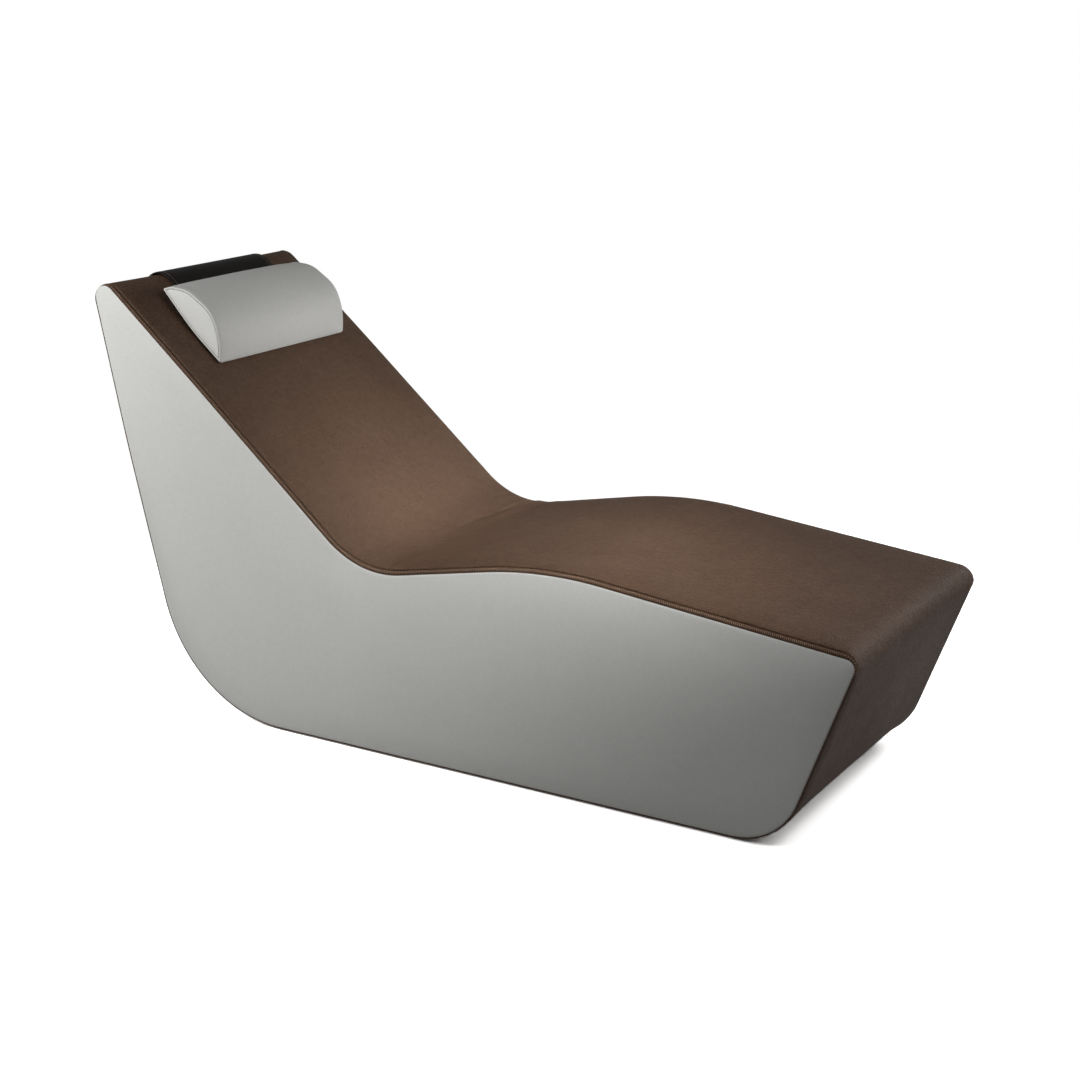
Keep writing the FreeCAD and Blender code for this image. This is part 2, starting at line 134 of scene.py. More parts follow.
# Where the overcast stitches that hold the strip lie on it
OVERCAST = (313.3, 6.6, 1.1, 0.5)
PANEL_EDGE = [
    (310.4, 0.2, -1.6, -2.0),
    (312.3, 0.5, -1.3, -1.8),
    (313.6, 0.0, -1.9, -2.3),
    (314.4, -1.4, -3.4, -3.8),
    (314.9, -4.2, -6.4, -6.8),
    (315.3, -8.8, -11.0, -11.0),
    (315.6, -16.0, -18.0, -18.0),
]
PANEL_SPINE = [(-890, 925), (-700, 625), (-450, 335), (-100, 235), (350, 255), (820, 335)]
PANEL_RINGS = 16
PANEL_STEP, PANEL_STEP_BELOW, PANEL_STEP_ROUND = 14.0, 20.0, 5.0
# How slowly a padded panel's rings start along its spine, how far they rise at once, and how
# often they are smoothed
FAN_OUT = 0.85
FIRST_RISE = 0.2
SMOOTHINGS = 80
# Millimetres of slack when a point is compared with a distance
SLACK = 0.1
# Unevenness of the side panels with its wavelength and how far from the seam it is full, and the
# puckers below the seam: height, width, how much longer than wide they are, and reach
SIDE_UNEVEN, SIDE_WAVE, SIDE_FULL = 0.4, 160.0, 80.0
PUCKER, PUCKER_WIDE, PUCKER_DRAWN, PUCKER_REACH = 0.2, 13.0, 5, 12

# Unevenness of the band's foam: long waves, short waves and their share, and where it fades
FOAM_WAVE, FOAM_SHORT_WAVE, FOAM_SHORT_SHARE = 150.0, 45.0, 0.3
FOAM_END_Y, FOAM_FADE = 310.0, 20.0
# Angle from the seat's crease, in radians, within which its folds lie
CREASE_TURN = 1.2

# Soft folds at the seat's crease: place along the profile from the crease's middle, how much
# further on they start at the seam, share of the full height, reach and the side they start from
FOLDS = [
    (28.0, 40.0, 1.0, 230.0, 1),
    (-34.0, 30.0, 0.22, 150.0, 1),
    (84.0, 26.0, 0.35, 120.0, 1),
    (-4.0, -24.0, 0.3, 130.0, -1),
    (40.0, 20.0, 0.35, 100.0, -1),
]
# They start at this distance from the middle plane, bend away and widen from there
FOLD_Y = 306.0
FOLD_BEND = 60.0
FOLD_WIDTH, FOLD_SPREAD, FOLD_RISE = 7.0, 0.05, 16.0

# Hem round the opening underneath
HEM_X = (-440.0, 650.0)
HEM_Y = 268.0

# Headrest: distances run along the backrest from the profile's head corner, heights are square
# to it from the seam line
GAP = 0.4
STRAP = 4.0
STRAP_HALF = 176.0
STRAP_Y = 22.0
STRAP_FRONT = 310.0
STRAP_TAIL_Z = 745.0
# Half of the strap's cross section: distance from its middle and height above its underside
STRAP_SECTION = [
    (0.0, 4.0), (60.0, 4.0), (120.0, 4.0), (158.0, 4.0), (164.6, 4.0), (166.2, 3.6), (167.8, 3.9),
    (171.0, 4.1), (174.2, 3.8), (175.7, 2.8), (176.0, 1.8), (175.4, 0.6), (174.0, 0.1),
    (150.0, 0.0), (60.0, 0.0), (0.0, 0.0),
]
# Where its topstitching lies in that section, and its steps behind, over and before the crest
TOPSTITCH = (166.2, 3.6)
STRAP_STEPS = (40, 16, 46)
# Its ripples: height, wavelength and the height in the section from which they are full
RIPPLE, RIPPLE_WAVE, RIPPLE_FULL = 0.35, 70.0, 3.0
PILLOW_AT = 266.0
PILLOW_BASE = CROWN_TOP + GAP + STRAP + GAP
PILLOW_SECTION = [
    (-117.5, 17.5, 3.0),
    (-101.9, 40.7, 50.0),
    (-58.5, 71.0, 98.0),
    (27.0, 81.5, 83.0),
    (82.7, 46.2, 140.0),
    (114.5, 0.0, 3.0),
    (8.0, 0.0, 600.0),
]
PILLOW_ENDS = [(222.2, 6.2), (224.0, 5.4), (225.0, 4.2), (225.0, 2.8), (223.6, 1.3), (220.0, 0.3)]
PILLOW_STRAIGHT = 213.0
PILLOW_PANEL = [(221.5, 6.6), (223.0, 6.8), (224.4, 7.3), (225.2, 8.3), (225.6, 9.6)]
PILLOW_SPINE = [(-70.0, 32.0), (-20.0, 36.0), (40.0, 32.0), (72.0, 20.0)]
# The corners at its upper and lower end, and the steps round its section
PILLOW_UPPER, PILLOW_LOWER = 0, 5
PILLOW_STEP, PILLOW_STEP_ROUND = 7.0, 1.5
PILLOW_SMALLEST_RADIUS = 2.5
# A spot inside the section
PILLOW_MIDDLE = (0.0, 30.0)
PILLOW_ROWS = 54
PILLOW_RINGS = 7

# Weight pocket: distances run down the rear face from the profile's head corner
POCKET_FROM = 258.0
POCKET_LONG = 240.0
POCKET_DEEP = 13.0
POCKET_GROOVE = 5.0
POCKET_CHANNELS = 3
POCKET_EDGE = 6.0
# How far the grooves between the channels sink in, how soon the lips are full, the face's puffs
# and their wavelength, and how high the stitches lie on it
POCKET_SUNK, POCKET_LIP_FULL = 1.2, 2.5
POCKET_PUFF, POCKET_PUFF_WAVE = 0.3, 40.0
POCKET_STITCH_RISE = 0.1
# Its face near an end: distance from the end and share of the full height
POCKET_ENDS = [
    (0.0, 0.0), (0.4, 0.3), (2.5, 0.42), (7.0, 0.42), (9.0, 0.40), (12.0, 0.62), (18.0, 0.88),
    (26.0, 0.98),
]
POCKET_SEAM_IN, POCKET_SEAM_SHARE = 9.0, 0.42
POCKET_FLAT_Y = 140.0
# Steps of its face: at its lips, along one channel, across, and along a seam
POCKET_LIP_STEPS = (0.0, 0.6, 1.6, 3.2)
POCKET_STEPS, POCKET_ROWS, POCKET_SEAM_STEPS = 14, 32, 60

# Stitches: length and thickness on the border strip, the strap and the pocket
BORDER_STITCH = (5.6, 1.2)
STRAP_STITCH = (4.4, 1.5)
POCKET_STITCH = (4.0, 0.9)

# Dust cover: steps along and across, how far it lies below its box's top, and its unevenness
DUST_STEPS = (150, 74)
DUST_DROP = 0.45
DUST_SAG, DUST_SAG_LONG, DUST_SAG_EDGE = 0.25, 70.0, 30.0
DUST_SKIN = 0.4

# Faces that meet at a sharper angle than this, in degrees, keep their edge
SMOOTH_ANGLE = 50.0
# Points that are closer than this are one
MERGE = 0.02

# Padding: pressure under each kind of cover while it swells, and where the covers are held
BAND_PRESSURE, SIDE_PRESSURE = 1.2, 0.8
PILLOW_PRESSURE, PILLOW_END_PRESSURE = 4.0, 6.0
BAND_HELD_Y = 303.0
PILLOW_HELD_Y = 221.0
PILLOW_HELD_Z = 2.0

# Camera: place in metres, turn in degrees, lens in millimetres
CAMERA_AT = (2.2051, -3.3194, 1.6115)
CAMERA_TURN = (73.645, 1.405, 32.537)
CAMERA_LENS = 61.393

# Lamps: place and aim in metres, side, watts, spread in degrees and whether reflections show it
LAMPS = [
    ("side_softbox", (-1.4, -1.6, 1.4), (-0.95, 0.0, 0.9), 0.9, 22.0, 180.0, True),
    ("top_softbox", (1.7, -0.45, 2.2), (0.2, 0.0, 0.4), 0.9, 13.0, 180.0, True),
    ("front_softbox", (2.1, -0.7, 1.5), (-0.2, 0.0, 0.42), 0.5, 2.4, 24.0, True),
    ("edge_softbox", (1.9, 2.2, 1.3), (0.2, 0.0, 0.4), 0.8, 22.0, 180.0, True),
    ("far_softbox", (-0.2, 2.5, 0.9), (0.0, 0.0, 0.4), 1.4, 18.0, 180.0, False),
    ("rear_softbox", (-3.2, 0.4, 0.9), (-0.9, 0.0, 0.5), 1.2, 24.0, 180.0, False),
]
# How bright the white surroundings are as light, and in a reflection, where they would otherwise
# veil dark leatherette
SKY_LIGHT = 0.06
MIRRORED_WHITE = 0.15
# The floor lies just under the glides, its grey is lifted to white for the eye, and it fades
# out between two distances in metres from the middle
FLOOR_Z = -0.3
FLOOR_LIFT = 13.0
FLOOR_RADIUS = 4.0
FADE_FROM, FADE_TO = 1.1, 2.2


def linear(code):
    """A colour written as sRGB hex, turned to linear red, green, blue and alpha."""
    values = [int(code[i:i + 2], 16) / 255 for i in (1, 3, 5)]
    return tuple(v / 12.92 if v <= 0.04045 else ((v + 0.055) / 1.055) ** 2.4 for v in values) + (1,)


def length_setting(name, description, millimetres, least=0.0):
    """A length that a user can change."""
    return FloatProperty(
        name=name, description=description, default=millimetres * MM, min=least * MM,
        unit="LENGTH")


def colour_setting(name, description, code):
    """A colour that a user can change."""
    return FloatVectorProperty(
        name=name, description=description, default=linear(code)[:3], size=3, subtype="COLOR")


class LoungerSizes(bpy.types.PropertyGroup):
    """Sizes of the soft parts and trims that can be changed."""
    grid: length_setting("Band grid", "Spacing of the points on the brown band", 17, 8)
    undulation: length_setting("Undulation", "Height of the soft unevenness in the foam", 0.7)
    fold: length_setting("Seat folds", "Height of the soft folds at the seat's crease", 7.0)
    skin: length_setting("Skin", "Thickness of the leatherette", 1.6, 0.5)
    rib: length_setting("Rib pitch", "Distance between the gathers of the border strip", 4.2, 1.5)
    stitch: length_setting("Stitch pitch", "Distance between the strap's and pocket's stitches", 5.0, 2)
    band_swell: length_setting("Band swell", "How far the padding may push the brown band", 3.5)
    side_swell: length_setting("Side swell", "How far the padding may push the side panels", 3.0)
    pillow_swell: length_setting("Pillow swell", "How far the filling may push the pillow's cover", 4.0)
    swell_frames: IntProperty(
        name="Swell frames", description="Steps of the cloth simulation of padded pieces",
        default=20, min=5, max=60)


class LoungerColours(bpy.types.PropertyGroup):
    """Colours of the finishes that can be changed."""
    brown: colour_setting("Band", "Brown leatherette of the band", "#6e5543")
    brown_deep: colour_setting("Band shade", "Darker clouds in the brown leatherette", "#594334")
    strip: colour_setting("Border strip", "Dark brown leatherette of the border strips", "#5e4432")
    white: colour_setting("Sides", "White leatherette of the sides and the pillow", "#e4e4e0")
    strap: colour_setting("Strap", "Black-brown leatherette of the strap and its pocket", "#17110e")
    thread: colour_setting("Thread", "Sewing thread on the brown leatherette", "#a98c72")
    floor: colour_setting("Floor", "Studio floor", "#8e8e8e")


def add(tree, kind, inputs=None, **settings):
    """Add one node: settings are its own, inputs are values or the outputs they link to.

    A node that is given as an input stands for its first output.
    """
    made = tree.nodes.new("ShaderNode" + kind)
    for name, value in settings.items():
        setattr(made, name, value)
    for name, value in (inputs or {}).items():
        source = value.outputs[0] if isinstance(value, bpy.types.Node) else value
        if isinstance(source, bpy.types.NodeSocket):
            tree.links.new(source, made.inputs[name])
        else:
            made.inputs[name].default_value = source
    return made


def start_material(name):
    """An empty material and its tree, with the object coordinates that its patterns read."""
    material = bpy.data.materials.new(name)
    material.use_nodes = True
    tree = material.node_tree
    tree.nodes.clear()
    return material, tree, add(tree, "TexCoord").outputs["Object"]


def seen_by_eye(tree):
    """A node whose value is 1 for what the eye sees straight or through glass, less if mirrored."""
    ray = add(tree, "LightPath").outputs
    mirrored = add(
        tree, "Math",
        {0: ray["Is Glossy Ray"], 1: MIRRORED_WHITE, 2: ray["Is Transmission Ray"]},
        operation="MULTIPLY_ADD")
    return add(tree, "Math", {0: ray["Is Camera Ray"], 1: mirrored}, operation="MAXIMUM")


def per_metre(millimetres):
    """A texture's scale from the real size of its pattern."""
    return 1000.0 / millimetres


# A mix node's colour sockets are found by number
MIX_FACTOR, MIX_A, MIX_B, MIX_RESULT = 0, 6, 7, 2


def leatherette(name, light, dark, grain=4.6, relief=0.25, rough=0.52, streaks=0.0, crease_shading=0.3):
    """Embossed PVC leatherette: pebbled grain pressed by a roller, with slightly cloudy colour and
    painted shade that darkens the grain's creases.

    The real grain is about 1 mm; it is drawn coarser so that it shows from a step away.
    """
    material, tree, place = start_material(name)
    pebbles = add(
        tree, "TexVoronoi", {"Vector": place, "Scale": per_metre(grain)}, feature="DISTANCE_TO_EDGE")
    creases = add(
        tree, "MapRange", {"Value": pebbles, "From Max": 0.22}, interpolation_type="SMOOTHSTEP")
    # Wavelength in millimetres, detail, roughness and distortion
    fine, clouds, specks = (
        add(tree, "TexNoise", {"Vector": place, "Scale": per_metre(size), "Detail": detail,
                               "Roughness": uneven, "Distortion": distortion})
        for size, detail, uneven, distortion in (
            (grain * 0.6, 3.0, 0.6, 0.0), (170.0, 4.0, 0.55, 0.6), (grain * 3.0, 4.0, 0.7, 0.8)))
    drawn = add(
        tree, "Mapping",
        {"Vector": place, "Scale": (per_metre(20.0), per_metre(80.0), per_metre(20.0))})
    bands = add(
        tree, "TexNoise", {"Vector": drawn, "Scale": 1.0, "Detail": 3.0, "Roughness": 0.6})
    tint, height = 0.05, creases
    for pattern, weight in ((clouds, 0.9), (bands, 0.55), (specks, 2.4)):
        tint = add(tree, "Math", {0: pattern, 1: weight, 2: tint}, operation="MULTIPLY_ADD")
    for pattern, weight in ((fine, 0.5), (specks, 5.5)):
        height = add(tree, "Math", {0: pattern, 1: weight, 2: height}, operation="MULTIPLY_ADD")
    share = add(tree, "MapRange", {"Value": tint, "From Min": 1.35, "From Max": 2.6})
    tone = add(tree, "Mix", {MIX_FACTOR: share, MIX_A: dark, MIX_B: light}, data_type="RGBA")
    # Painted shade: the colour is darker in the grain's creases, by up to the given share
    crease_shade = add(tree, "MapRange", {"Value": creases, "To Min": 1.0 - crease_shading, "To Max": 1.0})
    shaded = add(
        tree, "Mix", {MIX_FACTOR: 1.0, MIX_A: tone.outputs[MIX_RESULT], MIX_B: crease_shade},
        data_type="RGBA", blend_type="MULTIPLY")
    polish = add(
        tree, "MapRange", {"Value": clouds, "To Min": rough + 0.05, "To Max": rough - 0.05})
    bump = add(tree, "Bump", {"Strength": relief, "Distance": 0.8 * MM, "Height": height})
    if streaks:
        # Slight upright puckers where the cover is pulled down over the side
        turned = add(
            tree, "Mapping",
            {"Vector": place, "Scale": (per_metre(9.0), per_metre(9.0), per_metre(70.0))})
        pucker = add(tree, "TexNoise", {"Vector": turned, "Scale": 1.0})
        bump = add(
            tree, "Bump",
            {"Strength": streaks, "Distance": 1.6 * MM, "Height": pucker, "Normal": bump})
    shader = add(
        tree, "BsdfPrincipled",
        {"Base Color": shaded.outputs[MIX_RESULT], "Roughness": polish, "Normal": bump,
         "Specular IOR Level": 0.22})
    add(tree, "OutputMaterial", {"Surface": shader})
    return material


def brown_leatherette():
    """The band's finish."""
    colours = bpy.context.scene.lounger_colours
    return leatherette(
        "brown_leatherette_embossed", (*colours.brown, 1), (*colours.brown_deep, 1), relief=0.8)


def white_leatherette(streaks=0.16):
    """The finish of the sides and the pillow."""
    colours = bpy.context.scene.lounger_colours
    dark = tuple(c * 0.93 for c in colours.white)
    return leatherette(
        "white_leatherette_embossed", (*colours.white, 1), (*dark, 1), grain=3.0, relief=0.06,
        rough=0.5, streaks=streaks, crease_shading=0.05)


def strap_leatherette():
    """The strap's finish: the same stuff in black-brown, a little glossier."""
    colours = bpy.context.scene.lounger_colours
    dark = tuple(c * 0.7 for c in colours.strap)
    return leatherette(
        "strap_leatherette_embossed", (*colours.strap, 1), (*dark, 1), grain=3.0, relief=0.15,
        rough=0.42)


def two_tone(material, pattern, dark, light, rough, relief=0.0):
    """A material whose colour, and whose faint relief where it has one, follow one pattern."""
    tree = material.node_tree
    tone = add(tree, "Mix", {MIX_FACTOR: pattern, MIX_A: dark, MIX_B: light}, data_type="RGBA")
    inputs = {"Base Color": tone.outputs[MIX_RESULT], "Roughness": rough}
    if relief:
        inputs["Normal"] = add(
            tree, "Bump", {"Strength": relief, "Distance": 0.2 * MM, "Height": pattern})
    add(tree, "OutputMaterial", {"Surface": add(tree, "BsdfPrincipled", inputs)})
    return material


def thread_finish(name):
    """Bonded polyester thread: twisted, with a soft shine across the twist that is painted into its
    colour as lighter and darker bands.
    """
    material, tree, place = start_material(name)
    colour = bpy.context.scene.lounger_colours.thread
    # Painted sheen and shade: lighter and darker bands of the thread's colour along its twist
    twist = add(
        tree, "TexWave", {"Vector": place, "Scale": per_metre(1.2), "Distortion": 1.0},
        bands_direction="DIAGONAL")
    dark = tuple(c * 0.75 for c in colour)
    return two_tone(material, twist.outputs["Fac"], (*dark, 1), (*colour, 1), 0.55)


def plywood_finish():
    """Birch plywood: pale rotary-cut veneer with faint wavy grain, sanded and not varnished."""
    material, tree, place = start_material("birch_plywood_sanded")
    stretched = add(
        tree, "Mapping",
        {"Vector": place, "Scale": (per_metre(260.0), per_metre(26.0), per_metre(26.0))})
    figure = add(
        tree, "TexNoise", {"Vector": stretched, "Scale": 1.0, "Detail": 5.0, "Distortion": 1.2})
    return two_tone(material, figure, linear("#c9a877"), linear("#e4cda2"), 0.62, 0.15)


def timber_finish():
    """Planed pine: straight growth rings seen as bands, with a dull surface."""
    material, tree, place = start_material("pine_timber_planed")
    rings = add(
        tree, "TexWave",
        {"Vector": place, "Scale": per_metre(45.0), "Distortion": 3.0, "Detail": 2.0,
         "Detail Scale": 1.5},
        bands_direction="Z")
    return two_tone(
        material, rings.outputs["Fac"], linear("#b98a52"), linear("#dcb984"), 0.6, 0.1)


def steel_finish(name, colour, rough):
    """Steel: zinc-plated or brushed, with fine scratches that break up its shine."""
    material, tree, place = start_material(name)
    scratches = add(tree, "TexNoise", {"Vector": place, "Scale": per_metre(1.5), "Detail": 4.0})
    polish = add(
        tree, "MapRange", {"Value": scratches, "To Min": rough - 0.08, "To Max": rough + 0.12})
    shader = add(
        tree, "BsdfPrincipled",
        {"Roughness": polish, "Base Color": linear(colour), "Metallic": 1.0})
    add(tree, "OutputMaterial", {"Surface": shader})
    return material


def nylon_finish():
    """Moulded nylon glides: off-black, faintly mottled, with a satin surface."""
    material, tree, place = start_material("black_nylon_moulded")
    mottle = add(tree, "TexNoise", {"Vector": place, "Scale": per_metre(6.0), "Detail": 3.0})
    return two_tone(material, mottle, linear("#161616"), linear("#242424"), 0.42)


def woven_finish(name, dark, light, pitch):
    """Cloth of crossed threads: non-woven dust cover or zip tape, matt and slightly fuzzy."""
    material, tree, place = start_material(name)
    across, along = (
        add(tree, "TexWave", {"Vector": place, "Scale": per_metre(pitch * 3), "Distortion": 0.4},
            bands_direction=axis).outputs["Fac"]
        for axis in "XY")
    weave = add(tree, "Math", {0: across, 1: along}, operation="MULTIPLY")
    return two_tone(material, weave, linear(dark), linear(light), 0.9, 0.4)


def grown(top, edge, under, soft=0.0):
    """The profile's corners with each kind of edge moved outwards by its own amount."""
    grow = {"top": top, "rear": edge, "foot": edge, "under": under}
    edges = []
    for i, (x0, z0, _, kind) in enumerate(PROFILE):
        x1, z1 = PROFILE[(i + 1) % len(PROFILE)][:2]
        run = math.hypot(x1 - x0, z1 - z0)
        ux, uz = (x1 - x0) / run, (z1 - z0) / run
        edges.append((x0 - uz * grow[kind], z0 + ux * grow[kind], ux, uz, grow[kind]))
    corners = []
    for i, (bx, bz, bux, buz, b_out) in enumerate(edges):
        ax, az, aux, auz, a_out = edges[i - 1]
        cross = aux * buz - auz * bux
        along = ((bx - ax) * buz - (bz - az) * bux) / cross
        swell = (a_out + b_out) / 2
        radius = PROFILE[i][2] + (swell if cross < 0 else -swell)
        if i in (HEAD, TOE):
            radius += soft
        corners.append((ax + aux * along, az + auz * along + BASE_Z, max(radius, SMALLEST_RADIUS)))
    return corners


def rounded(corners):
    """For each corner of a closed outline, where its arc starts and ends, and the arc's centre."""
    arcs = []
    for i, (x, z, radius) in enumerate(corners):
        here = Vector((x, z))
        before = (Vector(corners[i - 1][:2]) - here).normalized()
        after = (Vector(corners[(i + 1) % len(corners)][:2]) - here).normalized()
        half = before.angle(after) / 2
        reach = radius / math.tan(half)
        centre = here + (before + after).normalized() * (radius / math.sin(half))
        arcs.append((here + before * reach, here + after * reach, centre))
    return arcs


def turn_between(start, end, centre):
    """The signed angle of the short way round from one point to another."""
    a, b = start - centre, end - centre
    return math.atan2(a.x * b.y - a.y * b.x, a.dot(b))


def outline_steps(corners, runs, arc):
    """How many steps each corner's arc and the run after it take at these spacings."""
    arcs = rounded(corners)
    steps = []
    for i, (start, end, centre) in enumerate(arcs):
        long = abs(turn_between(start, end, centre)) * (start - centre).length
        spacing = min(arc[i], runs[i]) if (start - centre).length < STRAIGHT_RADIUS else runs[i]
        away = (arcs[(i + 1) % len(arcs)][0] - end).length
        steps.append((max(4, math.ceil(long / spacing)), max(1, math.ceil(away / runs[i]))))
    return steps


def outline(corners, steps):
    """Points round a closed outline: along each corner's arc, then along the run after it."""
    arcs = rounded(corners)
    points = []
    for i, (start, end, centre) in enumerate(arcs):
        arc_steps, run_steps = steps[i]
        turn = turn_between(start, end, centre)
        for k in range(arc_steps):
            points.append(centre + Matrix.Rotation(turn * k / arc_steps, 2) @ (start - centre))
        following = arcs[(i + 1) % len(arcs)][0]
        points.extend(end.lerp(following, k / run_steps) for k in range(run_steps))
    return points


def body_steps(top, other, arc):
    """Steps round the body's profile, finer along the top than elsewhere."""
    corners = grown(0.0, 0.0, 0.0)
    runs = [top if kind == "top" else other for _, _, _, kind in PROFILE]
    arcs = [min(arc, run) if i in (HEAD, TOE) else run for i, run in enumerate(runs)]
    arcs[SEAT] /= 2
    return outline_steps(corners, runs, arcs)


def seam_outline(top, edge, under, steps):
    """Points round the profile, grown by these amounts and softened at the head and the toe."""
    return outline(grown(top, edge, under, RIDGE_SOFTENING * (top + edge)), steps)


def first_step(steps, corner):
    """Index of the point where a corner's arc starts."""
    return sum(a + b for a, b in steps[:corner])


def lengths_along(points):
    """Distance of each point of a line from its first point."""
    found = [0.0]
    for a, b in zip(points, points[1:]):
        found.append(found[-1] + (b - a).length)
    return found


def deselect():
    """Leave edit mode and select nothing."""
    if bpy.context.mode != "OBJECT":
        bpy.ops.object.mode_set(mode="OBJECT")
    bpy.ops.object.select_all(action="DESELECT")


def pick(piece):
    """Make a piece the only one selected."""
    deselect()
    piece.select_set(True)
    bpy.context.view_layer.objects.active = piece


def edit_all(piece, operator, **settings):
    """Use one operator of edit mode on all of a piece."""
    pick(piece)
    bpy.ops.object.mode_set(mode="EDIT")
    bpy.ops.mesh.select_all(action="SELECT")
    operator(**settings)
    bpy.ops.object.mode_set(mode="OBJECT")


def apply_modifier(piece, kind, **settings):
    """Add a modifier with its settings and apply it."""
    pick(piece)
    modifier = piece.modifiers.new(kind.title(), kind)
    for name, value in settings.items():
        setattr(modifier, name, value)
    bpy.ops.object.modifier_apply(modifier=modifier.name)


def wrapped_grid(name, columns, rows, place, ring=True, tube=False, inside=INSIDE):
    """A grid primitive laid over a surface: place(i, j) is column i of row j, in millimetres.

    In a ring the last column meets the first, and in a tube the last row meets the first. All
    faces are turned over if most of them look towards the point inside.
    """
    deselect()
    bpy.ops.mesh.primitive_grid_add(x_subdivisions=columns, y_subdivisions=rows, size=1)
    piece = bpy.context.object
    piece.name = name
    points = []
    for j in range(rows + 1):
        for i in range(columns + 1):
            spot = place(i % columns if ring else i, j % rows if tube else j)
            points.extend(value * MM for value in spot)
    piece.data.vertices.foreach_set("co", points)
    piece.data.update()
    edit_all(piece, bpy.ops.mesh.remove_doubles, threshold=MERGE * MM)
    outward = sum(face.normal.dot(face.center - inside) * face.area for face in piece.data.polygons)
    if outward < 0:
        edit_all(piece, bpy.ops.mesh.flip_normals)
    return piece


def hand_over(piece, material, nodes=(), body="root"):
    """Smooth a finished piece, dress it, hang it on its body and hide the nodes that it stands for."""
    pick(piece)
    bpy.ops.object.shade_smooth_by_angle(angle=math.radians(SMOOTH_ANGLE))
    piece.data.materials.clear()
    piece.data.materials.append(material)
    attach(piece, body)
    if nodes:
        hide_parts(*nodes)


def sew(name, size, places, thread, body="root"):
    """One seam: a stitch, thicker in the middle and along X, copied to these places and joined."""
    deselect()
    bpy.ops.mesh.primitive_uv_sphere_add(segments=6, ring_count=5, radius=0.5)
    stitch = bpy.context.object
    bpy.ops.transform.rotate(value=math.pi / 2, orient_axis="Y", center_override=(0, 0, 0))
    bpy.ops.object.transform_apply(location=False, rotation=True, scale=False)
    long, thick = (value * MM for value in size)
    edit_all(stitch, bpy.ops.transform.resize, value=(long, thick, thick))
    deselect()
    copies = []
    for place in places:
        copy = stitch.copy()
        copy.data = stitch.data.copy()
        copy.matrix_world = place
        bpy.context.scene.collection.objects.link(copy)
        copy.select_set(True)
        copies.append(copy)
    bpy.data.objects.remove(stitch)
    bpy.context.view_layer.objects.active = copies[0]
    bpy.ops.object.join()
    seam = bpy.context.object
    seam.name = name
    bpy.ops.object.transform_apply(location=True, rotation=True, scale=True)
    hand_over(seam, thread, body=body)


def stitch_places(path, pitch):
    """Frames spaced along a path of (point, outward) pairs: X along it, Z outwards."""
    places = []
    travelled, due = 0.0, pitch / 2
    for (a, out_a), (b, _) in zip(path, path[1:]):
        step = (b - a).length
        while travelled + step >= due:
            spot = a.lerp(b, (due - travelled) / step)
            along = (b - a).normalized()
            side = out_a.cross(along).normalized()
            place = Matrix((along, side, along.cross(side))).transposed().to_4x4()
            place.translation = spot * MM
            places.append(place)
            due += pitch
        travelled += step
    return places


def swell(piece, pinned, reach, pressure):
    """Puff a padded piece with a cloth simulation.

    Points that pinned is true of stay, and the others move by about reach at the most.
    """
    scene = bpy.context.scene
    frames = scene.lounger_sizes.swell_frames
    rest = [vertex.co.copy() for vertex in piece.data.vertices]
    pick(piece)
    held = piece.vertex_groups.new(name="seams")
    held.add([vertex.index for vertex in piece.data.vertices if pinned(vertex.co)], 1.0, "REPLACE")
    modifier = piece.modifiers.new("Swell", "CLOTH")
    settings = modifier.settings
    settings.quality = 5
    settings.use_pressure = True
    settings.uniform_pressure_force = pressure
    settings.vertex_group_mass = "seams"
    settings.effector_weights.gravity = 0.0
    modifier.point_cache.frame_start = 1
    modifier.point_cache.frame_end = frames
    for step in range(1, frames + 1):
        scene.frame_set(step)
    bpy.ops.object.modifier_apply(modifier=modifier.name)
    scene.frame_set(1)
    for vertex, start in zip(piece.data.vertices, rest):
        move = vertex.co - start
        if move.length > 1e-9:
            vertex.co = start + move * (reach * math.tanh(move.length / reach) / move.length)
    piece.vertex_groups.clear()
    piece.data.update()


def pad(piece, pinned, reach, pressure, shape=None):
    """Swell a cover, round it, give it its finer shape and then the leatherette's thickness."""
    swell(piece, pinned, reach, pressure)
    apply_modifier(piece, "SUBSURF", levels=1, render_levels=1)
    if shape:
        shape(piece)
    skin = bpy.context.scene.lounger_sizes.skin
    apply_modifier(piece, "SOLIDIFY", thickness=skin, offset=-1.0)


def sewn_rim(depths):
    """A test of whether a panel's point belongs to its sewn rim."""
    return lambda point: abs(point.y) < (depths[-2] + SLACK) * MM


def balance(steps, first, last, loose):
    """Change one run's steps so that both ways round between two corners' middles have as many.

    Gives the index of the point in the middle of the first corner's arc.
    """
    start = first_step(steps, first) + steps[first][0] // 2
    end = first_step(steps, last) + steps[last][0] // 2
    spare = sum(a + b for a, b in steps) - 2 * (end - start)
    arc_steps, run_steps = steps[loose]
    steps[loose] = (arc_steps, run_steps - spare)
    return start


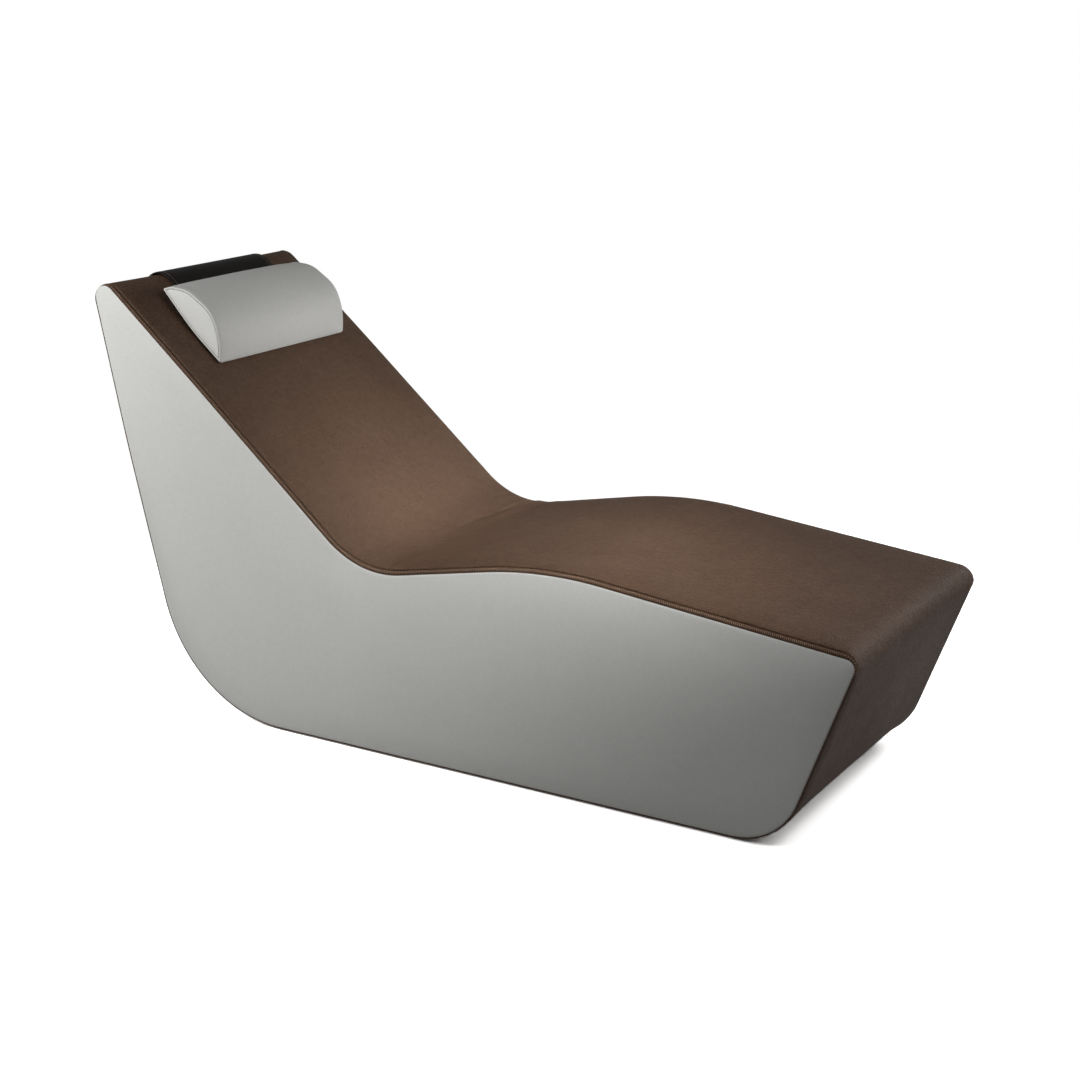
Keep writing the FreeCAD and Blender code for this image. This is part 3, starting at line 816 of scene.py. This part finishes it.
def padded_panel(name, rims, depths, first, spine, rings, side, to_body, inside):
    """A panel of rings that close in from its sewn rim to a line along its middle.

    rims are outlines and depths their distances from the middle plane; the points at index
    first and halfway round meet the ends of the spine; to_body turns a spot into x and z.
    """
    columns = len(rims[0])
    reach = lengths_along(spine)

    def place(i, j):
        if j < len(rims):
            x, z = to_body(rims[j][i])
            return x, side * depths[j], z
        turn = (i - first) % columns
        share = min(turn, columns - turn) / (columns // 2)
        # Slow at both ends, so that the rings fan out there and no two lines cross
        wanted = (share - FAN_OUT * math.sin(math.tau * share) / math.tau) * reach[-1]
        k = max(n for n, length in enumerate(reach[:-1]) if length <= wanted + 1e-6)
        middle = spine[k].lerp(spine[k + 1], (wanted - reach[k]) / (reach[k + 1] - reach[k]))
        x, z = to_body(rims[-1][i].lerp(middle, (j - len(rims) + 1) / rings))
        return x, side * (depths[-1] + FIRST_RISE), z

    piece = wrapped_grid(name, columns, len(rims) - 1 + rings, place, inside=inside)
    inner = [vertex.index for vertex in piece.data.vertices
             if abs(vertex.co.y) > (depths[-1] + SLACK) * MM]
    piece.vertex_groups.new(name="inner").add(inner, 1.0, "REPLACE")
    apply_modifier(
        piece, "SMOOTH", factor=0.5, iterations=SMOOTHINGS, use_y=False, vertex_group="inner")
    piece.vertex_groups.clear()
    return piece


def soft_noise(spot, wavelength):
    """Smooth unevenness from -1 to 1 with this wavelength in millimetres."""
    return noise.noise(Vector(spot) / wavelength)


def crease_folds(along, y):
    """Share of the full fold height at a place near the seat's crease."""
    height = 0.0
    for centre, bend, share, reach, side in FOLDS:
        inward = max(FOLD_Y - side * y, 0.0)
        across = along - centre - bend * math.exp(-inward / FOLD_BEND)
        across /= FOLD_WIDTH + FOLD_SPREAD * inward
        fade = math.exp(-(inward / reach) ** 2) * min(1.0, inward / FOLD_RISE)
        # A rounded ridge beside a narrow valley
        ridge = 0.7 * math.exp(-((across - 1.5) ** 2) / 1.3)
        height += share * fade * (ridge - 0.9 * math.exp(-1.5 * across ** 2))
    return height


class LOUNGER_OT_top_upholstery(bpy.types.Operator):
    """Brown band over the top, rear, foot and underside, with its foam"""
    bl_idname = "lounger.top_upholstery"
    bl_label = "Top upholstery"

    def execute(self, context):
        sizes = context.scene.lounger_sizes
        spacing = sizes.grid / MM
        steps = body_steps(spacing, spacing * BAND_COARSER, BAND_STEP_ROUND)
        middle = []
        count = 2 * round(BAND_FLAT_Y / spacing)
        sunk = BAND_SUNK
        for k in range(count + 1):
            y = -BAND_FLAT_Y + 2 * BAND_FLAT_Y * k / count
            fall = BAND_FALL * abs(y / BAND_FLAT_Y) ** BAND_FALL_POWER
            low = sunk * (1.0 - abs(y / BAND_EDGE[0][0]) ** 6)
            middle.append((y, CROWN_TOP - fall - low, CROWN_EDGE - low, CROWN_UNDER))
        rows = [(-y, *rest) for y, *rest in BAND_EDGE] + middle + list(reversed(BAND_EDGE))
        outlines = [seam_outline(*grow, steps) for _, *grow in rows]
        piece = wrapped_grid(
            "top_upholstery", len(outlines[0]), len(rows) - 1,
            lambda i, j: (outlines[j][i].x, rows[j][0], outlines[j][i].y))
        self.open_hem(piece)
        pad(piece, lambda point: abs(point.y) > BAND_HELD_Y * MM or point.z < UNDER_Z * MM,
            sizes.band_swell, BAND_PRESSURE, self.soften)
        hand_over(
            piece, brown_leatherette(),
            ("top_cover", "rear_foam", "back_foam", "seat_foam", "leg_foam", "foot_foam"))
        return {"FINISHED"}

    def soften(self, piece):
        """Give the padding its slight unevenness, and the seat's crease its folds."""
        sizes = bpy.context.scene.lounger_sizes
        corners = grown(CROWN_TOP, CROWN_EDGE, CROWN_UNDER)
        start, end, centre = rounded(corners)[SEAT]
        crease = (start + end) / 2 - centre
        radius = (start - centre).length
        moves = []
        for vertex in piece.data.vertices:
            x, y, z = vertex.co / MM
            if z < UNDER_Z:
                continue
            short = soft_noise((x + 900.0, y, z), FOAM_SHORT_WAVE)
            lift = soft_noise((x, y, z), FOAM_WAVE) + FOAM_SHORT_SHARE * short
            lift *= sizes.undulation * min(1.0, (FOAM_END_Y - abs(y)) / FOAM_FADE)
            spot = Vector((x, z)) - centre
            turn = math.atan2(crease.x * spot.y - crease.y * spot.x, crease.dot(spot))
            if abs(turn) < CREASE_TURN and vertex.normal.z > 0.5:
                lift += sizes.fold * crease_folds(turn * radius, y)
            moves.append((vertex, vertex.normal * lift))
        for vertex, move in moves:
            vertex.co += move
        piece.data.update()

    def open_hem(self, piece):
        """Cut the opening underneath that the dust cover closes."""
        for x in HEM_X:
            edit_all(piece, bpy.ops.mesh.bisect, plane_co=(x * MM, 0, 0), plane_no=(1, 0, 0))
        edit_all(piece, bpy.ops.mesh.select_all, action="DESELECT")
        for face in piece.data.polygons:
            x, y, z = face.center / MM
            face.select = HEM_X[0] < x < HEM_X[1] and abs(y) < HEM_Y and z < UNDER_Z
        bpy.ops.object.mode_set(mode="EDIT")
        bpy.ops.mesh.delete(type="FACE")
        bpy.ops.object.mode_set(mode="OBJECT")


class LOUNGER_OT_side_panels(bpy.types.Operator):
    """White padded panels on both sides"""
    bl_idname = "lounger.side_panels"
    bl_label = "Side panels"

    def execute(self, context):
        sizes = context.scene.lounger_sizes
        steps = body_steps(PANEL_STEP, PANEL_STEP_BELOW, PANEL_STEP_ROUND)
        first = balance(steps, HEAD, TOE, FOOT_LOW)
        rims = [seam_outline(*grow, steps) for _, *grow in PANEL_EDGE]
        depths = [y for y, *_ in PANEL_EDGE]
        spine = [Vector(point) for point in PANEL_SPINE]
        white = white_leatherette()
        for side, name in ((1, "left"), (-1, "right")):
            piece = padded_panel(
                f"side_upholstery_{name}", rims, depths, first, spine, PANEL_RINGS, side,
                lambda spot: spot, INSIDE)
            pad(piece, sewn_rim(depths), sizes.side_swell, SIDE_PRESSURE,
                lambda panel: self.pucker(panel, rims[0]))
            hand_over(
                piece, white, (f"side_cover_{name}", f"side_foam_{name}"))
        return {"FINISHED"}

    def pucker(self, piece, rim):
        """Slight unevenness, and small upright puckers that fade out below the top seam."""
        nearest = kdtree.KDTree(len(rim))
        for i, spot in enumerate(rim):
            nearest.insert((spot.x, 0.0, spot.y), i)
        nearest.balance()
        for vertex in piece.data.vertices:
            x, y, z = vertex.co / MM
            _, _, away = nearest.find((x, 0.0, z))
            lift = SIDE_UNEVEN * soft_noise((x, 0.0, z), SIDE_WAVE) * min(1.0, away / SIDE_FULL)
            near = away / PUCKER_REACH
            pucker = soft_noise((x, 40.0, z / PUCKER_DRAWN), PUCKER_WIDE)
            lift += PUCKER * pucker * near * math.exp(1 - near)
            vertex.co.y += math.copysign(lift * MM, y)
        piece.data.update()


class LOUNGER_OT_border_strips(bpy.types.Operator):
    """Gathered brown strips between the band and the sides, and the stitches beside them"""
    bl_idname = "lounger.border_strips"
    bl_label = "Border strips"

    def execute(self, context):
        sizes = context.scene.lounger_sizes
        pitch = sizes.rib / MM
        steps = body_steps(pitch / 4, STRIP_STEP_BELOW, pitch / 4)
        outlines = [seam_outline(*grow, steps) for _, *grow in WELT]
        along = lengths_along(outlines[0])
        columns = len(along)
        start, end = first_step(steps, HEAD), first_step(steps, TOE) + steps[TOE][0]

        # How many ribs there are up to each point, a little unevenly gathered
        ribs = [length / pitch + RIB_DRIFT * soft_noise((length, 0.0, 7.0), RIB_DRIFT_LONG)
                for length in along]

        def place(i, j):
            spot = outlines[j][i]
            run = (outlines[j][(i + 1) % columns] - outlines[j][i - 1]).normalized()
            y = WELT[j][0]
            if start < i < end and j in RIB_ROWS:
                rib = RIB_HEIGHT * math.cos(math.tau * ribs[i])
                spot = spot + Vector((-run.y, run.x)) * (rib * RIB_OUT)
                y += rib
            return spot.x, side * y, spot.y

        line = seam_outline(*OVERCAST[1:], steps)
        colours = context.scene.lounger_colours
        thread = thread_finish("tan_thread_bonded")
        strip = leatherette(
            "brown_leatherette_piping", (*colours.strip, 1), (*colours.brown_deep, 1), grain=2.0,
            relief=0.1)
        for side, name in ((1, "left"), (-1, "right")):
            piece = wrapped_grid(
                f"border_strip_gathered_{name}", columns, len(WELT), place, tube=True)
            hand_over(piece, strip, (f"border_strip_{name}",))
            sew(f"border_stitches_{name}", BORDER_STITCH,
                self.valleys(line, ribs, start, end, side), thread)
        return {"FINISHED"}

    def valleys(self, line, ribs, start, end, side):
        """Frames for the stitches that lie across the strip in the valley after each rib."""
        places = []
        for i in range(start, end):
            valley = math.floor(ribs[i] + 0.5) + 0.5
            if not ribs[i] <= valley < ribs[i + 1]:
                continue
            spot = line[i].lerp(line[i + 1], (valley - ribs[i]) / (ribs[i + 1] - ribs[i]))
            run = (line[i + 1] - line[i]).normalized()
            along = Vector((run.x, 0.0, run.y))
            out = Vector((-STITCH_LEAN * run.y, side, STITCH_LEAN * run.x)).normalized()
            across = Matrix.Rotation(math.radians(STITCH_SLANT * side), 3, out) @ along
            place = Matrix((across, out.cross(across), out)).transposed().to_4x4()
            place.translation = Vector((spot.x, side * OVERCAST[0], spot.y)) * MM
            places.append(place)
        return places


def head_place(corner, side, along, height):
    """A point near the line from the head's corner to the next, on this side of it, as x and z."""
    start, end = Vector(PROFILE[HEAD][:2]), Vector(PROFILE[corner][:2])
    run = (end - start).normalized()
    return start + run * along + Vector((-run.y, run.x)) * (side * height) + Vector((0, BASE_Z))


def back_place(along, height):
    """A point above the backrest, as x and z."""
    return head_place(BACK_MID, 1, along, height)


def rear_place(down, height):
    """A point behind the rear face, as x and z."""
    return head_place(HEAD - 1, -1, down, height)


def strap_path(height):
    """Points from the strap's tail behind the head end, over the crest, to its front end."""
    behind, over, ahead = STRAP_STEPS
    top, rear = CROWN_TOP + GAP + height, CROWN_EDGE + GAP + height
    corners = grown(top, rear, CROWN_UNDER, RIDGE_SOFTENING * (CROWN_TOP + CROWN_EDGE))
    start, end, centre = rounded(corners)[HEAD]
    before = Vector(corners[HEAD - 1][:2])
    tail_share = (STRAP_TAIL_Z - start.y) / (before.y - start.y)
    tail = start.lerp(before, tail_share)
    front = back_place(STRAP_FRONT, top)
    turn = turn_between(start, end, centre)
    points = [tail.lerp(start, k / behind) for k in range(behind)]
    points += [centre + Matrix.Rotation(turn * k / over, 2) @ (start - centre) for k in range(over)]
    points += [end.lerp(front, k / ahead) for k in range(ahead + 1)]
    return points


class LOUNGER_OT_headrest_strap(bpy.types.Operator):
    """Doubled leatherette strap over the head end, topstitched along both edges"""
    bl_idname = "lounger.headrest_strap"
    bl_label = "Headrest strap"

    def execute(self, context):
        sizes = context.scene.lounger_sizes
        section = STRAP_SECTION + [(-y, height) for y, height in reversed(STRAP_SECTION[1:-1])]
        paths = {height: strap_path(height) for _, height in section}

        def place(i, j):
            y, height = section[j]
            spot = paths[height][i]
            ripple = RIPPLE * soft_noise((spot.x, y, spot.y), RIPPLE_WAVE)
            return spot.x, STRAP_Y + y, spot.y + ripple * min(1.0, height / RIPPLE_FULL)

        piece = wrapped_grid(
            "headrest_strap_sewn", sum(STRAP_STEPS), len(section), place, ring=False, tube=True)
        edit_all(piece, bpy.ops.mesh.fill_holes, sides=0)
        edit_all(piece, bpy.ops.mesh.normals_make_consistent, inside=False)
        hand_over(piece, strap_leatherette(), ("headrest_strap",))
        long = lengths_along(paths[max(paths)])[-1]
        edges = []
        out, height = TOPSTITCH
        for y in (-out, out):
            line = []
            for a, b in zip(paths[height], paths[height][1:]):
                run = (b - a).normalized()
                line.append((Vector((a.x, STRAP_Y + y, a.y)), Vector((-run.y, 0.0, run.x))))
            edges += stitch_places(line, sizes.stitch / MM)
        sew("strap_stitches", STRAP_STITCH, edges, thread_finish("tan_thread_strap"))
        return {"FINISHED"}


def pillow_corners(shrink):
    """The pillow's section drawn in by a margin, in its own plane."""
    corners = []
    count = len(PILLOW_SECTION)
    for i, (x, z, radius) in enumerate(PILLOW_SECTION):
        here = Vector((x, z))
        before = (here - Vector(PILLOW_SECTION[i - 1][:2])).normalized()
        after = (Vector(PILLOW_SECTION[(i + 1) % count][:2]) - here).normalized()
        in_before, in_after = Vector((before.y, -before.x)), Vector((after.y, -after.x))
        inward = (in_before + in_after) * (shrink / (1 + in_before.dot(in_after)))
        corners.append((*(here + inward), max(radius - shrink, PILLOW_SMALLEST_RADIUS)))
    return corners


class LOUNGER_OT_headrest_pillow(bpy.types.Operator):
    """White headrest pillow: barrel, two end panels and their seams"""
    bl_idname = "lounger.headrest_pillow"
    bl_label = "Headrest pillow"

    def execute(self, context):
        sizes = context.scene.lounger_sizes
        runs = [PILLOW_STEP] * len(PILLOW_SECTION)
        arcs = [PILLOW_STEP_ROUND if i in (PILLOW_UPPER, PILLOW_LOWER) else PILLOW_STEP
                for i in range(len(runs))]
        steps = outline_steps(pillow_corners(0.0), runs, arcs)
        first = balance(steps, PILLOW_UPPER, PILLOW_LOWER, PILLOW_LOWER + 1)
        middle = [(-PILLOW_STRAIGHT + 2 * PILLOW_STRAIGHT * k / PILLOW_ROWS, 0.0)
                  for k in range(PILLOW_ROWS + 1)]
        rows = [(-y, inset) for y, inset in PILLOW_ENDS] + middle + list(reversed(PILLOW_ENDS))
        outlines = {inset: outline(pillow_corners(inset), steps) for _, inset in rows}
        centre = self.to_body(Vector(PILLOW_MIDDLE)) * MM
        inside = Vector((centre.x, 0.0, centre.y))

        def place(i, j):
            y, inset = rows[j]
            x, z = self.to_body(outlines[inset][i])
            return x, y, z

        barrel = wrapped_grid(
            "pillow_barrel", len(outlines[0.0]), len(rows) - 1, place, inside=inside)
        white = white_leatherette(0.0)
        pad(barrel,
            lambda point: abs(point.y) > PILLOW_HELD_Y * MM or self.height(point) < PILLOW_HELD_Z * MM,
            sizes.pillow_swell, PILLOW_PRESSURE)
        self.dress(barrel, white, ("pillow_cover", "pillow_foam"))

        rims = [outline(pillow_corners(inset), steps) for _, inset in PILLOW_PANEL]
        depths = [y for y, _ in PILLOW_PANEL]
        spine = [Vector(point) for point in PILLOW_SPINE]
        for side, name in ((1, "left"), (-1, "right")):
            panel = padded_panel(
                f"pillow_end_panel_{name}", rims, depths, first, spine, PILLOW_RINGS, side,
                self.to_body, inside)
            pad(panel, sewn_rim(depths), sizes.pillow_swell, PILLOW_END_PRESSURE)
            self.dress(panel, white, (f"pillow_end_{name}",))
        return {"FINISHED"}

    def to_body(self, spot):
        """Place of a spot of the pillow's section, as x and z."""
        return back_place(PILLOW_AT + spot.x, PILLOW_BASE + spot.y)

    def height(self, point):
        """Height of a point above the pillow's underside, square to the backrest."""
        base, up = self.to_body(Vector((0, 0))), self.to_body(Vector((0, 1)))
        return (Vector((point.x, point.z)) - base * MM).dot((up - base).normalized())

    def dress(self, piece, material, nodes):
        """Hand over one of the pillow's covers."""
        hand_over(piece, material, nodes, "headrest")


class LOUNGER_OT_weight_pocket(bpy.types.Operator):
    """Sewn pocket with three channels that hangs behind the head end"""
    bl_idname = "lounger.weight_pocket"
    bl_label = "Weight pocket"

    base = CROWN_EDGE + GAP + STRAP + GAP
    pitch = (POCKET_LONG - 2 * POCKET_EDGE) / POCKET_CHANNELS

    def execute(self, context):
        stations = [*POCKET_LIP_STEPS, POCKET_EDGE]
        stations += [POCKET_EDGE + self.pitch * k / POCKET_STEPS
                     for k in range(1, POCKET_STEPS * POCKET_CHANNELS + 1)]
        stations += [POCKET_LONG - step for step in reversed(POCKET_LIP_STEPS)]
        face = [(down, self.front(down)) for down in stations]
        section = face + [(down, 0.0) for down in reversed(stations[1:-1])]
        ends = [(STRAP_HALF - step, share) for step, share in POCKET_ENDS]
        inner = [(-POCKET_FLAT_Y + 2 * POCKET_FLAT_Y * k / POCKET_ROWS, 1.0)
                 for k in range(POCKET_ROWS + 1)]
        rows = [(-y, share) for y, share in ends] + inner + list(reversed(ends))
        centre = rear_place(POCKET_FROM + POCKET_LONG / 2, self.base + POCKET_DEEP / 3) * MM

        def place(i, j):
            y, share = rows[j]
            down, height = section[i]
            height = max(height * share, 0.0)
            if 0 < i < len(face) - 1:
                height += POCKET_PUFF * soft_noise((down, y, 50.0), POCKET_PUFF_WAVE) * share
            spot = rear_place(POCKET_FROM + down, self.base + height)
            return spot.x, STRAP_Y + y, spot.y

        piece = wrapped_grid(
            "weight_pocket_sewn", len(section), len(rows) - 1, place,
            inside=Vector((centre.x, STRAP_Y * MM, centre.y)))
        apply_modifier(piece, "SUBSURF", levels=1, render_levels=1)
        hand_over(
            piece, strap_leatherette(), ("weight_pocket",), "counterweight")
        stitch = context.scene.lounger_sizes.stitch / MM
        places = [spot for seam in self.seams() for spot in stitch_places(seam, stitch)]
        sew("pocket_stitches", POCKET_STITCH, places, thread_finish("tan_thread_pocket"),
            "counterweight")
        return {"FINISHED"}

    def front(self, down):
        """Height of the pocket's face at a distance from its upper edge."""
        inner = down - POCKET_EDGE
        if inner <= 0 or inner >= POCKET_LONG - 2 * POCKET_EDGE:
            edge = min(down, POCKET_LONG - down) / POCKET_EDGE * POCKET_LIP_FULL
            return POCKET_GROOVE * math.sqrt(max(0.0, 1 - (1 - min(edge, 1.0)) ** 2))
        share = (inner % self.pitch) / self.pitch
        rise = 1 - (2 * share - 1) ** 4
        return POCKET_GROOVE - POCKET_SUNK + (POCKET_DEEP - POCKET_GROOVE + POCKET_SUNK) * rise

    def seams(self):
        """The pocket's seams across and along it, each as (point, outward) pairs."""
        side = STRAP_HALF - POCKET_SEAM_IN
        downs = [POCKET_EDGE + self.pitch * k for k in range(POCKET_CHANNELS + 1)]
        ends = [((down, -side), (down, side)) for down in downs]
        ends += [((POCKET_EDGE, y), (POCKET_LONG - POCKET_EDGE, y)) for y in (-side, side)]
        out = (rear_place(0.0, 1.0) - rear_place(0.0, 0.0)).normalized()
        outward = Vector((out.x, 0.0, out.y))
        for (down_a, y_a), (down_b, y_b) in ends:
            seam = []
            for k in range(POCKET_SEAM_STEPS + 1):
                down = down_a + (down_b - down_a) * k / POCKET_SEAM_STEPS
                y = y_a + (y_b - y_a) * k / POCKET_SEAM_STEPS
                share = POCKET_SEAM_SHARE if abs(y) > side - SLACK else 1.0
                lift = min(self.front(down), POCKET_DEEP) * share
                spot = rear_place(POCKET_FROM + down, self.base + lift + POCKET_STITCH_RISE)
                seam.append((Vector((spot.x, STRAP_Y + y, spot.y)), outward))
            yield seam


class LOUNGER_OT_underside(bpy.types.Operator):
    """Dust cover under the base, drawn tight between its staples"""
    bl_idname = "lounger.underside"
    bl_label = "Underside"

    def execute(self, context):
        low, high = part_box("dust_cover")
        long, wide = high.x - low.x, high.y - low.y
        columns, rows = DUST_STEPS

        def place(i, j):
            x = low.x + long * i / columns
            y = low.y + wide * j / rows
            border = min(x - low.x, high.x - x, y - low.y, high.y - y)
            sag = DUST_SAG * MM * noise.noise(Vector((x, y, 0.0)) / (DUST_SAG_LONG * MM))
            z = high.z - DUST_DROP * MM + sag * min(1.0, border / (DUST_SAG_EDGE * MM))
            return x / MM, y / MM, z / MM

        above = Vector(((low.x + high.x) / 2, 0.0, high.z + 1.0))
        piece = wrapped_grid("dust_cover_cloth", columns, rows, place, ring=False, inside=above)
        apply_modifier(piece, "SOLIDIFY", thickness=DUST_SKIN * MM, offset=0.0)
        hand_over(
            piece, woven_finish("black_nonwoven_polypropylene", "#0e0e0e", "#222222", 1.6),
            ("dust_cover",))
        return {"FINISHED"}


class LOUNGER_OT_frame_finishes(bpy.types.Operator):
    """Materials of the carcass, fasteners, glides, bars and zip that stay as built"""
    bl_idname = "lounger.frame_finishes"
    bl_label = "Frame finishes"

    def execute(self, context):
        finishes = {
            "plywood": plywood_finish(),
            "timber": timber_finish(),
            "screw_steel": steel_finish("zinc_plated_steel", "#b9bbbd", 0.34),
            "weight_steel": steel_finish("mild_steel_bar_rolled", "#6d6f71", 0.48),
            "zip_metal": steel_finish("nickel_plated_zinc", "#a9a9a6", 0.28),
            "nylon": nylon_finish(),
            "zip_tape": woven_finish("zip_tape_woven_polyester", "#b9b9b4", "#dcdcd7", 1.0),
        }
        hidden = brown_leatherette()
        for part in frame["record"]["subparts"]:
            node = frame["nodes"][part["node"]]
            node.data.materials.clear()
            node.data.materials.append(finishes.get(part["material_slot"], hidden))
        return {"FINISHED"}


class LOUNGER_OT_studio(bpy.types.Operator):
    """Pale floor, soft lights and the camera at the photograph's angle"""
    bl_idname = "lounger.studio"
    bl_label = "Studio"

    def execute(self, context):
        scene = context.scene
        scene.view_settings.view_transform = "Standard"
        self.camera(scene)
        self.floor(context)
        self.world(scene)
        for lamp in LAMPS:
            self.lamp(*lamp)
        return {"FINISHED"}

    def camera(self, scene):
        data = bpy.data.cameras.new("camera")
        data.lens = CAMERA_LENS
        data.clip_end = 50.0
        camera = bpy.data.objects.new("camera", data)
        camera.location = CAMERA_AT
        camera.rotation_euler = [math.radians(angle) for angle in CAMERA_TURN]
        scene.collection.objects.link(camera)
        scene.camera = camera

    def lamp(self, name, at, aim, size, power, spread, mirrored):
        data = bpy.data.lights.new(name, "AREA")
        data.shape = "SQUARE"
        data.size = size
        data.energy = power
        data.spread = math.radians(spread)
        lamp = bpy.data.objects.new(name, data)
        lamp.location = at
        lamp.visible_camera = False
        lamp.visible_glossy = mirrored
        lamp.rotation_euler = (Vector(aim) - Vector(at)).to_track_quat("-Z", "Y").to_euler()
        bpy.context.scene.collection.objects.link(lamp)

    def floor(self, context):
        """A round floor that fades into the white surroundings away from the lounger."""
        deselect()
        bpy.ops.mesh.primitive_circle_add(
            vertices=96, radius=FLOOR_RADIUS, fill_type="NGON", location=(0, 0, FLOOR_Z * MM))
        bpy.ops.object.transform_apply(location=True, rotation=False, scale=False)
        floor = context.object
        floor.name = "floor"
        material, tree, place = start_material("studio_floor_painted")
        colour = context.scene.lounger_colours.floor
        mottle = add(tree, "TexNoise", {"Vector": place, "Scale": 3.0})
        tone = add(
            tree, "Mix",
            {MIX_FACTOR: mottle, MIX_A: (*colour, 1), MIX_B: (*(c * 0.985 for c in colour), 1)},
            data_type="RGBA")
        # Painted white for the eye only, so that the floor throws little light back up
        lift = add(
            tree, "Math", {0: seen_by_eye(tree), 1: FLOOR_LIFT, 2: 1.0}, operation="MULTIPLY_ADD")
        shown = add(
            tree, "VectorMath", {0: tone.outputs[MIX_RESULT], "Scale": lift}, operation="SCALE")
        matt = add(tree, "BsdfDiffuse", {"Color": shown})
        far = add(tree, "VectorMath", {0: place}, operation="LENGTH")
        fade = add(
            tree, "MapRange",
            {"Value": far.outputs["Value"], "From Min": FADE_FROM, "From Max": FADE_TO},
            interpolation_type="SMOOTHSTEP")
        mixed = add(tree, "MixShader", {0: fade, 1: matt, 2: add(tree, "BsdfTransparent")})
        add(tree, "OutputMaterial", {"Surface": mixed})
        floor.data.materials.append(material)

    def world(self, scene):
        """White surroundings for the eye and for reflections, and a low even light."""
        world = bpy.data.worlds.new("studio")
        world.use_nodes = True
        scene.world = world
        tree = world.node_tree
        tree.nodes.clear()
        strength = add(tree, "MapRange", {"Value": seen_by_eye(tree), "To Min": SKY_LIGHT})
        sky = add(tree, "Background", {"Color": (1, 1, 1, 1), "Strength": strength})
        add(tree, "OutputWorld", {"Surface": sky})


class LOUNGER_PT_sidebar(bpy.types.Panel):
    """Sizes, colours and steps of the lounger"""
    bl_idname = "LOUNGER_PT_sidebar"
    bl_label = "Lounger"
    bl_space_type = "VIEW_3D"
    bl_region_type = "UI"
    bl_category = "Lounger"

    def draw(self, context):
        for group in (context.scene.lounger_sizes, context.scene.lounger_colours):
            box = self.layout.box()
            for name in group.bl_rna.properties.keys():
                if name not in ("rna_type", "name"):
                    box.prop(group, name)
        for step in STEPS:
            self.layout.operator(step.bl_idname)


STEPS = (
    LOUNGER_OT_studio,
    LOUNGER_OT_frame_finishes,
    LOUNGER_OT_top_upholstery,
    LOUNGER_OT_side_panels,
    LOUNGER_OT_border_strips,
    LOUNGER_OT_headrest_strap,
    LOUNGER_OT_headrest_pillow,
    LOUNGER_OT_weight_pocket,
    LOUNGER_OT_underside,
)
CLASSES = (LoungerSizes, LoungerColours, *STEPS, LOUNGER_PT_sidebar)


def register():
    for cls in CLASSES:
        bpy.utils.register_class(cls)
    bpy.types.Scene.lounger_sizes = PointerProperty(type=LoungerSizes)
    bpy.types.Scene.lounger_colours = PointerProperty(type=LoungerColours)


def unregister():
    del bpy.types.Scene.lounger_colours
    del bpy.types.Scene.lounger_sizes
    for cls in reversed(CLASSES):
        bpy.utils.unregister_class(cls)


def main():
    register()
    for step in STEPS:
        group, name = step.bl_idname.split(".")
        getattr(getattr(bpy.ops, group), name)()


if __name__ == "__main__":
    main()
